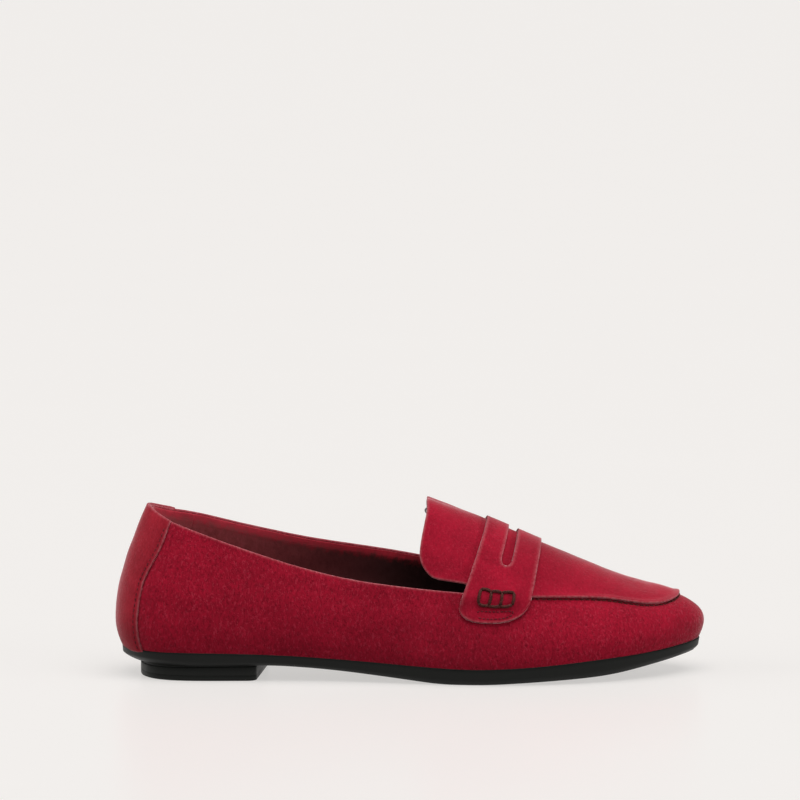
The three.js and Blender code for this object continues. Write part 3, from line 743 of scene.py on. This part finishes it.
def upper_sheet(name, s, v, outer, inner, unevenness=0.12, **kind):
    """Sheet on the last between two offsets; s and v are grids."""
    base, out = domed(surface(s, v)), normal(s, v)
    wave = ripple(base, unevenness)[..., None]
    outer = np.broadcast_to(outer, np.shape(s))[..., None]
    inner = np.broadcast_to(inner, np.shape(s))[..., None]
    return thin_solid(name, base + out * (outer + wave), base + out * (inner + wave), **kind)


def wrap_top(s):
    """Highest v of the wrap: just under the collar line, or lapped under the apron."""
    v = at_edge(s, 0.5)
    lap = APRON_LAP * smooth(*LAP_BLEND_X, surface(s, v)[..., 0])
    return v + lap / climb(s, v)


def make_wrap():
    """Suede wrap from collar to feather edge, with the start of its lasting margin folded in."""
    s = paced(481)
    share = even_share(44, 0.8)
    grid_s = np.repeat(s[:, None], len(share), 1)
    grid_v = wrap_top(s)[:, None] * share
    base, out = surface(grid_s, grid_v), normal(grid_s, grid_v)
    wave = ripple(base, 0.16)[..., None] * smooth(0.02, 0.15, share)[None, :, None]
    outer = base + out * wave
    inner = outer - out * WRAP_THICKNESS

    def folded(inset, rise):
        return spline_at(FOOT, s) - foot_outward(s) * inset + (0, 0, rise)

    inner[:, 0] = folded(1.1, 1.3)
    outer = np.concatenate([np.stack([folded(4, 0.25), folded(1.2, 0.1)], 1), outer], 1)
    inner = np.concatenate([np.stack([folded(4, 1.4), folded(1.6, 1.35)], 1), inner], 1)
    return thin_solid("suede_wrap", outer, inner)


def heel_patch_front(share):
    return mix(*PATCH_FRONT_STATION, smooth(0.6, 0.9, share))


def heel_patch_v(s, share):
    return mix(PATCH_FOOT, at_edge(s, 0.2), share)


def make_heel_patch():
    """Back piece over the wrap's rear ends, with leaning front edges."""
    side = even_across(95)
    share = even_share(60)
    s = (side[:, None] * heel_patch_front(share)) % AROUND
    rise = smooth(1, 0.86, np.abs(side))[:, None]
    inner, outer = PATCH_LAYER
    outer = mix(outer - 0.15, outer + 0.25, rise)
    return upper_sheet("suede_heel_patch", s, heel_patch_v(s, share), outer, inner)


TONGUE_EDGE_X = 154.4
TONGUE_EDGE_HEIGHT = 44.7
TONGUE_REAR_SLOPE = 0.17
TONGUE_FRONT_SLOPE = 0.354
TONGUE_INNER_RISE = 5
TONGUE_CREST_X = 138.5
TONGUE_SIDE_X = 135.2
TONGUE_CORNER = 8.3
TONGUE_INNER_TRIM = 2.2
TONGUE_LINING_FRONT_X = 160.0
APRON_LIP = 0.55
APRON_LIP_REACH = 1.6


def tongue_edge_height(x, across):
    """Height of the tongue's side edges: two slopes on the outer side, one on the inner."""
    outer = np.asarray(across) < 0
    slope = np.where(outer & (x < TONGUE_EDGE_X), TONGUE_REAR_SLOPE, TONGUE_FRONT_SLOPE)
    return TONGUE_EDGE_HEIGHT + slope * (TONGUE_EDGE_X - x) + np.where(outer, 0, TONGUE_INNER_RISE)


def apron_edge(station, across):
    s = side_station(station, across)
    x = surface(s, 0.5)[..., 0]
    return v_at_height(s, np.maximum(edge_height(s), tongue_edge_height(x, across)))


def tongue_rear_x(across):
    """Rear edge of the tongue: bowed between the crest and two rounded corners."""
    side = np.abs(across)
    bow = (TONGUE_CREST_X - TONGUE_SIDE_X) * (1 - smooth(0.3, 0.9, side))
    corner = np.clip((side - 0.8) / 0.2, 0, 1)
    rounding = TONGUE_CORNER * (1 - np.sqrt(1 - corner ** 2))
    return TONGUE_SIDE_X + bow + rounding + TONGUE_INNER_TRIM * smooth(0.35, 0.7, across)


def apron_grid(rows, columns, front=TOE, trim=0.0):
    """Stations, v and outer-side stations of a grid from the tongue's rear edge to the front."""
    across = even_across(columns)[None, :] * (1 - trim / 60)
    rear = station_at_x(tongue_rear_x(across) + trim)
    station = mix(rear, front, even_share(rows)[:, None])
    across = across + 0 * station
    v = mix(1.0, apron_edge(station, across), np.abs(across))
    return side_station(station, across), v, station


def make_apron():
    """Apron and tongue in one piece. Its sewn edge curls up a little."""
    s, v, station = apron_grid(150, 99)
    edge = at_edge(s)
    from_edge = (v - edge) * climb(s, edge)
    sewn = smooth(6.6, 7.2, station)
    lip = APRON_LIP * sewn * np.exp(-(from_edge / APRON_LIP_REACH) ** 2)
    inner, outer = APRON_LAYER
    return upper_sheet("suede_apron_and_tongue", s, v, outer + lip, inner + lip * 0.8)


def make_tongue_lining():
    s, v, _ = apron_grid(40, 61, front=station_at_x(TONGUE_LINING_FRONT_X), trim=1.0)
    inner, outer = TONGUE_LINING_LAYER
    return upper_sheet("tongue_lining_leather", s, v, outer, inner)


# -------- strap

# Crest x, crest height and lean of the strap's rear and front lines.
STRAP_REAR = (165.0, 70.1, 0.362)
STRAP_FRONT = (188.7, 60.3, 0.22)
STRAP_END_HEIGHT = 27.7
STRAP_END_ROUNDING = 8.5
STRAP_THICKNESS = 1.25
# Height where the slot ends, its place in the strap's width and half its width there.
SLOT_END_HEIGHT = 50
SLOT_MIDDLE = 0.497
SLOT_HALF = 0.088
BAND_COLUMNS = 13
SLOT_COLUMNS = 7


def lean_x(line, z):
    crest_x, crest_z, lean = line
    return crest_x - lean * (crest_z - z)


def strap_offset(s, v):
    """The strap lies on the wrap at its ends and on the apron over the instep."""
    above_seam = height_at(s, v) - edge_height(s)
    return mix(0.15, 1.7, smooth(-8, -1.5, above_seam))


def strap_place(across, width):
    """Station and v in the strap: across -1..1 from the outer to the inner end, width 0..1."""
    across, width = np.broadcast_arrays(across, width)
    bend = np.abs(2 * width - 1) ** 2.4
    end = STRAP_END_HEIGHT + STRAP_END_ROUNDING * (1 - np.sqrt(np.clip(1 - bend, 0, 1)))
    x = mix(STRAP_REAR[0], STRAP_FRONT[0], width)
    for _ in range(9):
        s = side_station(station_at_x(x), across)
        v = mix(1.0, v_at_height(s, end), np.abs(across))
        z = height_at(s, v)
        x = mix(lean_x(STRAP_REAR, z), lean_x(STRAP_FRONT, z), width)
    return s, v


def strap_point(across, width):
    """Points on the strap's upper face and their normals."""
    s, v = strap_place(across, width)
    return on_last(s, v, strap_offset(s, v) + STRAP_THICKNESS), normal(s, v)


def make_strap():
    """Saddle strap with a long slot, rounded at both its ends, and rounded strap ends."""
    across = np.linspace(-1, 1, 281)
    side = np.linspace(-1, 0, 60)
    slot_reach = -np.interp(SLOT_END_HEIGHT, height_at(*strap_place(side, SLOT_MIDDLE)), side)
    share = np.abs(across) / slot_reach
    shrink = np.sqrt(np.clip(1 - np.clip((share - 0.86) / 0.14, 0, 1) ** 2, 0.01, 1))
    shrink = np.where(share > 1, np.clip((share - 1) / 0.3, 0.1, 1), shrink)
    half = SLOT_HALF * shrink[:, None]
    start, end = SLOT_MIDDLE - half, SLOT_MIDDLE + half
    pace = 0.5 - 0.5 * np.cos(pi * np.linspace(0, 1, BAND_COLUMNS))
    slot = start + np.linspace(0, 1, SLOT_COLUMNS)[1:] * (2 * half)
    width = np.concatenate([pace * start, slot, mix(end, 1.0, pace[1:])], 1)
    s, v = strap_place(np.repeat(across[:, None], width.shape[1], 1), width)
    inner = strap_offset(s, v)
    outer = inner + STRAP_THICKNESS
    cells = np.ones((width.shape[0] - 1, width.shape[1] - 1), bool)
    in_slot = np.abs((across[1:] + across[:-1]) / 2) < slot_reach
    cells[in_slot, BAND_COLUMNS - 1:BAND_COLUMNS + SLOT_COLUMNS - 2] = False
    return upper_sheet("suede_strap", s, v, outer, inner, keep=cells, unevenness=0.1)


# Places of the link stitches across and in the strap's width, and how much lower rows shift.
LINK_COLUMNS = (0.24, 0.39, 0.55, 0.72)
LINK_TOP = 0.777
LINK_BOTTOM = 0.872
LINK_SHIFT = 0.02
LINK_RADIUS = 0.68
BAR_MIDDLE = (0.941, 0.53)
BAR_HALF = (0.027, 0.25)
APRON_SEAM_START_X = 180.5


def make_strap_stitches(side, name):
    """Thick hand stitches like three links of a chain. Each one dives in at both its ends."""

    def run(start, end, bow):
        t = np.linspace(0, 1, 17)
        arch = 1 - (2 * t - 1) ** 2
        across = side * (mix(start[0], end[0], t) + bow[0] * arch)
        width = mix(start[1], end[1], t) + bow[1] * arch
        points, out = strap_point(across, width)
        height = 0.42 - (2 * t - 1) ** 6
        return points + out * height[:, None]

    lines = []
    for column in LINK_COLUMNS:
        bow = -0.012 if column == LINK_COLUMNS[0] else 0.012
        lines.append(run((LINK_TOP, column), (LINK_BOTTOM, column + LINK_SHIFT), (0, bow)))
    for level, shift, bow in ((LINK_TOP, 0, -0.008), (LINK_BOTTOM, LINK_SHIFT, 0.008)):
        for a, b in zip(LINK_COLUMNS, LINK_COLUMNS[1:]):
            lines.append(run((level, a + shift), (level, b + shift), (bow, 0)))
    return strand(name, lines, LINK_RADIUS)


def make_strap_seam(side, name):
    """Fine seam round a narrow bar in the strap's end, with a tail to the rear edge."""
    turn = np.linspace(0.05, 2 * pi - 0.6, 150)

    def squared(wave):
        return np.sign(wave) * np.abs(wave) ** 0.6

    across = side * (BAR_MIDDLE[0] - BAR_HALF[0] * squared(np.sin(turn)))
    width = BAR_MIDDLE[1] - BAR_HALF[1] * squared(np.cos(turn))
    path, out = strap_point(across, width)
    return running_stitches(name, path, out, pitch=1.75, gap=0.6, radius=0.22)


def make_apron_seam():
    """Seam on the wrap, just under the apron's edge."""
    start = station_at_x(APRON_SEAM_START_X)
    s = np.linspace(start, AROUND - start, 700)
    edge = at_edge(s)
    v = edge - 0.8 / climb(s, edge)
    path, out = on_last(s, v, 0.1), normal(s, v)
    return running_stitches("apron_seam_stitches", path, out, pitch=2.6, gap=0.5, radius=0.28)


def make_heel_seam(side, name):
    """Seam along the front edge of the heel patch."""
    share = np.linspace(0.03, 0.985, 160)
    s = (side * (heel_patch_front(share) - 0.085)) % AROUND
    v = heel_patch_v(s, share)
    path, out = on_last(s, v, PATCH_LAYER[1]), normal(s, v)
    return running_stitches(name, path, out, pitch=2.4, gap=0.6, radius=0.2)


# -------- linings

# Height of the linings' foot over the feather edge: just clear of the insole board.
LINING_FOOT = 3.9
LINING_THICKNESS = 0.8
COLLAR_BAND = 5.2
VAMP_LINING_REAR_X = 160.2
VAMP_LINING_OFFSET = -2.7


def lining_offset(s, v):
    """Close behind the suede at the collar, and over the tape and the counter further down."""
    depth = edge_height(s) - height_at(s, v)
    return mix(-1.36, -2.62, smooth(0.3, 2.6, depth))


def make_collar_lining(name, start, end, columns):
    """Lining round the collar between two stations, which may be below zero."""
    share = np.linspace(0, 1, 34)
    line = (np.linspace(start, end, columns) % AROUND)[:, None]
    v = mix(above_feather(line, LINING_FOOT), at_edge(line, 0.85), share ** 0.8)
    s = line + 0 * v
    outer = lining_offset(s, v)
    obj = upper_sheet(name, s, v, outer, outer - LINING_THICKNESS, unevenness=0.2)
    mark_near(obj, "collar", surface(s[:, -1], v[:, -1]), COLLAR_BAND)
    return obj


def make_vamp_lining():
    across = even_across(51)[None, :]
    rear = station_at_x(VAMP_LINING_REAR_X)
    station = mix(rear, TOE, np.linspace(0, 1, 60)[:, None]) + 0 * across
    s = side_station(station, across)
    v = mix(1.0, above_feather(s, LINING_FOOT), np.abs(across))
    inner = VAMP_LINING_OFFSET - LINING_THICKNESS
    return upper_sheet("vamp_lining_leather", s, v, VAMP_LINING_OFFSET, inner)


# -------- inside

# Heights over the feather line, and the inset of the sock lining from the upper's surface.
CUSHION = (3.9, 6.4)
SOCK = (6.5, 7.6)
SOCK_INSET = 3.9
SOCK_CURL = 1.3
SOCK_ARCH = 1.1


def inside_outline(s, inset):
    """Plan outline of the inside of the upper, at the cushion's top."""
    v = above_feather(s, CUSHION[1])
    out = unit(normal(s, v) * (1, 1, 0))
    return surface(s, v) - out * inset


def rows_between(one, other, share):
    """Grid of straight rows from each point of one line to the same point of the other."""
    share = share[None, :, None]
    return one[:, None] * (1 - share) + other[:, None] * share


def floor_grid(start, end, rows, columns, inset):
    """Grid from side to side inside the shoe, with each point's distance from the outline."""
    s = mix(start, end, even_share(rows, 0.24))
    outside = inside_outline(s, inset)
    inside = inside_outline(AROUND - s, inset)
    share = even_share(columns)
    width = np.linalg.norm(outside - inside, axis=-1)[:, None]
    return rows_between(outside, inside, share), np.minimum(share, 1 - share) * width


def raised(grid, height):
    """The grid at some height above the feather line."""
    lifted = grid.copy()
    lifted[..., 2] = feather_z(grid[..., 0]) + height
    return lifted


def make_sock_lining():
    """Leather sock lining, turned up where it meets the sides and raised beside the arch."""
    grid, from_side = floor_grid(0, TOE, 110, 40, SOCK_INSET)
    x = grid[..., 0]
    curl = SOCK_CURL * (1 - smooth(0, 5, from_side))
    arch = SOCK_ARCH * smooth(70, 100, x) * smooth(140, 110, x) * (1 - smooth(4, 18, from_side))
    rise = curl + arch + ripple(grid * (1, 1, 0), 0.1)
    bottom, top = raised(grid, SOCK[0] + rise), raised(grid, SOCK[1] + rise)
    return thin_solid("sock_lining_leather", top, bottom)


def make_cushion(name, start, end):
    """Foam under the sock lining, bevelled down at its edges."""
    grid, from_side = floor_grid(start, end, 60, 30, SOCK_INSET + 0.8)
    along = np.linspace(0, 1, 60)[:, None]
    rear = smooth(0, 0.06, along) + (start == 0)
    front = smooth(1, 0.94, along) + (end == TOE)
    crown = np.minimum(smooth(-2, 6, from_side), np.minimum(rear, front))
    top = raised(grid, mix(CUSHION[0] + 1, CUSHION[1], np.clip(crown, 0, 1)))
    obj = thin_solid(name, top, raised(grid, CUSHION[0]), steps=3)
    return obj


# -------- bottom

# Underside of the sole: x and height.
SOLE_BOTTOM = [
    (0, 6.2), (70, 7.1), (86, 6.1), (101, 4.8), (123, 2.4), (144, 0), (165, 0),
    (187, 1.1), (208, 2.2), (219, 3), (230, 4.6), (240, 6.3), (251, 7.9), (262, 10.6),
]
# Pairs are for the sole's side and for the back of the heel.
SOLE_PROUD = (0.45, 2.0)
SOLE_LEAN_AT_BACK = 0.2
SOLE_BEVEL = (2.0, 6.4)
BEVEL_POWER = 2 / 1.3
HEEL_BREAST_STATION = 3
HEEL_INSET_BACK = 6.2
HEEL_INSET_SIDE = 2.7
HEEL_CORNER = 3


def sole_bottom(x):
    places, heights = np.array(SOLE_BOTTOM).T
    soft = [np.interp(x + shift, places, heights) for shift in (-6, -3, 0, 3, 6)]
    return np.mean(soft, axis=0)


def sole_section(s):
    """Edge of the sole from its top corner to its underside: inset and height in every station.

    The side is upright, then bevelled: a little under the side, and a broad bevel round the heel.
    """
    station = np.minimum(s, AROUND - s)
    feather = spline_at(FOOT, s)[..., 2]
    bottom = sole_bottom(spline_at(FOOT, s)[..., 0])
    reach = mix(*SOLE_BEVEL, smooth(2.4, 0.6, station))
    corner = mix(feather - 1.9, mix(feather, bottom, 0.62), smooth(0.5, 3, station))
    back = smooth(1.6, 0.2, station)
    top = feather + mix(0.8 * smooth(9.5, 7.5, station), 1.0, back)
    proud = mix(*SOLE_PROUD, back)
    lean = mix(proud, SOLE_LEAN_AT_BACK, back)
    steps = [(-0.1, top - 0.1), (-proud + 0.15, top), (-proud, top - 0.3)]
    steps += [(lean * t - proud, mix(top - 0.3, corner, t)) for t in (0.35, 0.7, 1)]
    start = lean - proud
    for turn in np.linspace(0, pi / 2, 10)[1:]:
        inset = 1 - cos(turn) ** BEVEL_POWER
        drop = sin(turn) ** BEVEL_POWER
        steps.append((mix(start, reach, inset), mix(corner, bottom, drop)))
    inset = np.stack([np.broadcast_to(step[0], s.shape) for step in steps], -1)
    height = np.stack([step[1] for step in steps], -1)
    return inset, height


def cap_between(ring, columns, height=None):
    """Grid across a closed symmetric ring of points, at a height worked out from x if given."""
    half = len(ring) // 2
    share = np.linspace(0, 1, columns)
    grid = rows_between(ring[:half + 1], ring[::-1][:half + 1], share)
    if height is not None:
        settled = smooth(0, 0.25, np.sin(pi * share))
        grid[..., 2] = mix(grid[..., 2], height(grid[..., 0]), settled)
    return grid


def make_outsole():
    s = paced(381)
    inset, height = sole_section(s)
    ring = spline_at(FOOT, s)[:, None] - foot_outward(s)[:, None] * inset[..., None]
    ring[..., 2] = height
    ring[-1] = ring[0]
    top = cap_between(ring[:, 0], 9)
    bottom = cap_between(ring[:, -1], 25, sole_bottom)
    return closed_solid("rubber_outsole", [ring, top[:, ::-1], bottom])


def heel_outline():
    """Closed plan outline of the heel, from the outer corner of the breast round the back."""
    share = np.concatenate([np.linspace(1, 0.965, 24), np.linspace(0.965, 0, 70)[1:]])
    station = share * HEEL_BREAST_STATION
    station = np.concatenate([station, -station[::-1][1:]])
    s = station % AROUND
    depth = np.abs(station)
    to_breast = np.clip((depth - HEEL_BREAST_STATION) / 0.1 + 1, 0, 1)
    corner = HEEL_CORNER * (1 - np.sqrt(1 - to_breast ** 2))
    inset = mix(HEEL_INSET_BACK, HEEL_INSET_SIDE, smooth(0, 2, depth)) + corner
    place = spline_at(FOOT, s) - foot_outward(s) * inset[:, None]
    place[:, 0] += 0.1 * (place[:, 1] + 24) * smooth(0, HEEL_BREAST_STATION, depth)
    return place[:, :2]


def make_prism(name, outline, levels):
    """Upright solid over a plan outline. Levels are insets and heights, from the bottom up."""
    ahead = np.roll(outline, -1, 0) - np.roll(outline, 1, 0)
    inward = unit(np.stack([-ahead[:, 1], ahead[:, 0]], -1))
    if ((outline.mean(0) - outline) * inward).sum() < 0:
        inward = -inward
    count = len(outline)
    points = []
    for inset, height in levels:
        place = outline + inward * inset
        z = height(place[:, 0]) if callable(height) else np.full(count, float(height))
        points.append(np.column_stack([place, z]))
    obj = new_object(name, np.concatenate(points), tube_faces(len(levels), count))
    obj.data.set_sharp_from_angle(angle=radians(38))
    return obj


def make_heel_block():
    """Block up to the sole's underside, with rounded corners and a narrow groove at the top."""
    def under_sole(gap):
        return lambda x: sole_bottom(x) - gap

    levels = [(0.1, 2.45), (0.02, 2.47), (0, 2.52), (0, under_sole(1.0)), (0.08, under_sole(0.75)),
              (0.55, under_sole(0.6)), (0.6, under_sole(-0.1))]
    return make_prism("heel_block_rubber", heel_outline(), levels)


def make_heel_top_piece():
    levels = [(0.6, 0), (0.18, 0.15), (0, 0.55), (0, 2.38), (0.02, 2.43), (0.1, 2.45)]
    return make_prism("heel_top_piece_rubber", heel_outline(), levels)


# -------- stud

# Radius and height from the stud's back to the top of its dome.
STUD_PROFILE = [
    (0, -0.2), (2.9, -0.2), (3.15, 0.05), (3.2, 0.3), (3.05, 0.52), (2.75, 0.55),
    (2.6, 0.45), (2.3, 0.7), (1.7, 1.05), (1.0, 1.27), (0.5, 1.35), (0, 1.38),
]
STUD_X = 140.7
STUD_ACROSS = 0.5
STUD_DEPTH = 1.2


def make_stud():
    """Small domed stud with a rolled rim, on the tongue's lining close to its rear edge."""
    station = station_at_x(STUD_X)
    v = mix(1.0, apron_edge(station, 1.0), STUD_ACROSS)
    s = AROUND - station
    centre, axis = on_last(s, v, -STUD_DEPTH), -normal(s, v)
    side = unit(np.cross(axis, (0, 0, 1)))
    up = np.cross(axis, side)
    turns = np.linspace(0, 2 * pi, 49)
    radius, height = np.array(STUD_PROFILE).T
    circle = side * np.cos(turns)[:, None] + up * np.sin(turns)[:, None]
    grid = centre + circle[:, None] * radius[None, :, None] + axis * height[None, :, None]
    return closed_solid("tongue_stud_metal", [grid])


# -------- assembly


def settle(obj, material, slot, *nodes, body="shoe"):
    """Piece of a material on a body, in place of CAD nodes. The slot argument is not used."""
    give(obj, material)
    if body == "both":
        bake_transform(obj)
    else:
        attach(obj, body)
    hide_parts(*nodes)


red_suede = suede("red_suede", 1.0, 0.09)
smooth_suede = suede("red_suede_smooth", 0.55, 0.14)
# The heel patch's paler, pinker base is painted sheen, for the sheen its backward-facing nap shows
# at grazing angles.
sheen_painted_heel_suede = suede("red_suede_heel_painted_sheen", 0.55, 0.14, (0.300, 0.0130, 0.0250))
dark_lining = lining_leather("wine_lining_leather", (0.030, 0.0055, 0.0050), (0.060, 0.0100, 0.0090))
# The red heel end fading to near black ahead is painted shade, not a change in the lining's own
# colour.
brushed_lining = collar_lining("wine_collar_lining_painted_shade", (0.040, 0.0150, 0.0150), (0.400, 0.075, 0.085),
                               -0.095, 0.005)
sock_leather = lining_leather("sock_leather", (0.030, 0.0100, 0.0080), (0.055, 0.0190, 0.0140), 700)
rubber = sole_rubber("black_rubber", (0.0030, 0.0037, 0.0031), (0.0068, 0.0079, 0.0067))
brown_thread = waxed_thread("dark_waxed_thread", (0.014, 0.0030, 0.0028), (0.130, 0.0320, 0.0250))
red_thread = waxed_thread("dark_red_thread", (0.035, 0.0020, 0.0050), (0.230, 0.0300, 0.0420))
foam = open_foam("pale_foam", (0.45, 0.40, 0.32), (0.70, 0.66, 0.58))
nickel = metal("brushed_nickel", (0.78, 0.78, 0.80), 0.5)

settle(make_wrap(), red_suede, "suede", "vamp_wrap")
settle(make_heel_patch(), sheen_painted_heel_suede, "suede", "heel_patch")
settle(make_apron(), smooth_suede, "suede", "apron", "tongue", body="both")
settle(make_strap(), smooth_suede, "suede", "penny_strap")
settle(make_tongue_lining(), dark_lining, "suede_lining", "tongue_lining", body="tongue")
settle(make_vamp_lining(), dark_lining, "leather_lining", "vamp_lining")

# Name, first and last station, columns of the grid and CAD node.
COLLAR_LININGS = (
    ("outer_quarter_lining_leather", 1.9, 6.0, 110, "lateral_quarter_lining"),
    ("inner_quarter_lining_leather", 14.0, 18.1, 110, "medial_quarter_lining"),
    ("heel_lining_suede", -1.88, 1.88, 81, "heel_lining"),
)
for *shape, node in COLLAR_LININGS:
    settle(make_collar_lining(*shape), brushed_lining, "leather_lining", node)
settle(make_sock_lining(), sock_leather, "leather_lining", "sock_lining")
settle(make_cushion("heel_pad_foam", 0, 3.4), foam, "foam", "heel_pad")
settle(make_cushion("forefoot_cushion_foam", 5.2, TOE), foam, "foam", "forefoot_cushion")

for side, word in ((-1, "lateral"), (1, "medial")):
    settle(make_strap_stitches(side, f"{word}_link_stitches"), brown_thread, "dark_thread",
           f"strap_stitch_{word}")
    settle(make_strap_seam(side, f"{word}_strap_seam_stitches"), red_thread, "red_thread",
           f"strap_edge_thread_{word}")
    settle(make_heel_seam(side, f"{word}_heel_seam_stitches"), red_thread, "red_thread",
           f"heel_seam_thread_{word}")
settle(make_apron_seam(), brown_thread, "dark_thread", "apron_seam_thread")

settle(make_outsole(), rubber, "sole_rubber", "outsole")
settle(make_heel_block(), rubber, "sole_rubber", "heel_block")
settle(make_heel_top_piece(), rubber, "sole_rubber", "heel_top_piece")
settle(make_stud(), nickel, "stud", "tongue_stud", body="tongue")

stiffener = pressed_fibre("stiffener_fibre", (0.18, 0.13, 0.08), (0.36, 0.29, 0.20))
tape = woven_tape("topline_tape_weave", (0.30, 0.26, 0.22), (0.55, 0.50, 0.44))
HIDDEN_MATERIALS = {
    "toe_puff": stiffener,
    "heel_counter": stiffener,
    "lateral_topline_tape": tape,
    "medial_topline_tape": tape,
    "insole_board": pressed_fibre("insole_board_fibre", (0.22, 0.15, 0.09), (0.45, 0.34, 0.22)),
    "bottom_filler": pressed_fibre("filler_felt", (0.10, 0.09, 0.08), (0.25, 0.23, 0.20)),
    "shank": metal("spring_steel", (0.45, 0.45, 0.46), 0.38),
}
for node, material in HIDDEN_MATERIALS.items():
    give(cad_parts[node], material)
nail_steel = metal("nail_steel", (0.55, 0.54, 0.52), 0.3)
for k in range(1, 6):
    give(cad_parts[f"heel_nail_{k}"], nail_steel)


# -------- floor, light and camera

FLOOR_HALF = 30
FLOOR_GLOW = (0.880, 0.857, 0.836)
FLOOR_DROP = 0.0001
WORLD_COLOR = (1.0, 0.985, 0.965, 1)
WORLD_STRENGTH = 0.24
CAMERA_ELEVATION = radians(7)
CAMERA_DISTANCE = 3.0
CAMERA_TARGET = Vector((-0.0044, 0, 0.1221))
CAMERA_LENS = 304.6
SENSOR_WIDTH = 36


def make_floor():
    """Wide pale floor that reaches past the top of the view."""
    ticks = np.linspace(-FLOOR_HALF, FLOOR_HALF, 13)
    points = [(x, y, 0) for x in ticks for y in ticks]
    ids = np.arange(len(points)).reshape(len(ticks), len(ticks))
    mesh = bpy.data.meshes.new("floor")
    mesh.from_pydata(points, [], quads_of(ids)[:, ::-1].tolist())
    floor = added("floor", mesh)
    n = Nodes("pale_floor")
    color = n.ramp(n.noise(12, detail=2), 0.3, 0.7, (0.318, 0.308, 0.300), (0.322, 0.312, 0.304))
    give(floor, n.finish(color, 0.3, Specular_IOR_Level=0.25,
                         Emission_Color=FLOOR_GLOW, Emission_Strength=0.615))
    floor.visible_diffuse = False
    floor.location.z = -FLOOR_DROP


def look_along(obj, direction):
    obj.rotation_euler = direction.to_track_quat("-Z", "Y").to_euler()


def add_sun(name, direction, spread, strength, glints=True):
    """Even soft light from a direction, spread over degrees. Low ones cast no glints."""
    data = bpy.data.lights.new(name, "SUN")
    data.energy = strength
    data.angle = radians(spread)
    light = added(name, data)
    look_along(light, -Vector(direction))
    light.visible_glossy = glints


def make_lights():
    world = bpy.data.worlds.new("studio")
    world.use_nodes = True
    background = world.node_tree.nodes["Background"].inputs
    background["Color"].default_value = WORLD_COLOR
    background["Strength"].default_value = WORLD_STRENGTH
    bpy.context.scene.world = world
    add_sun("overhead", (0.1, -0.24, 1), 60, 2.55)
    add_sun("toe_side", (1, -0.29, 0.0), 30, 2.5, glints=False)
    add_sun("heel_side", (-1, -0.15, 0.35), 40, 1.1, glints=False)
    bpy.context.scene.view_settings.view_transform = "Standard"


def make_camera():
    data = bpy.data.cameras.new("camera")
    data.sensor_width = SENSOR_WIDTH
    data.lens = CAMERA_LENS
    data.clip_start, data.clip_end = 0.05, 50
    camera = added("camera", data)
    back = Vector((0, -cos(CAMERA_ELEVATION), sin(CAMERA_ELEVATION)))
    camera.location = CAMERA_TARGET + back * CAMERA_DISTANCE
    look_along(camera, -back)
    bpy.context.scene.camera = camera


make_floor()
make_lights()
make_camera()
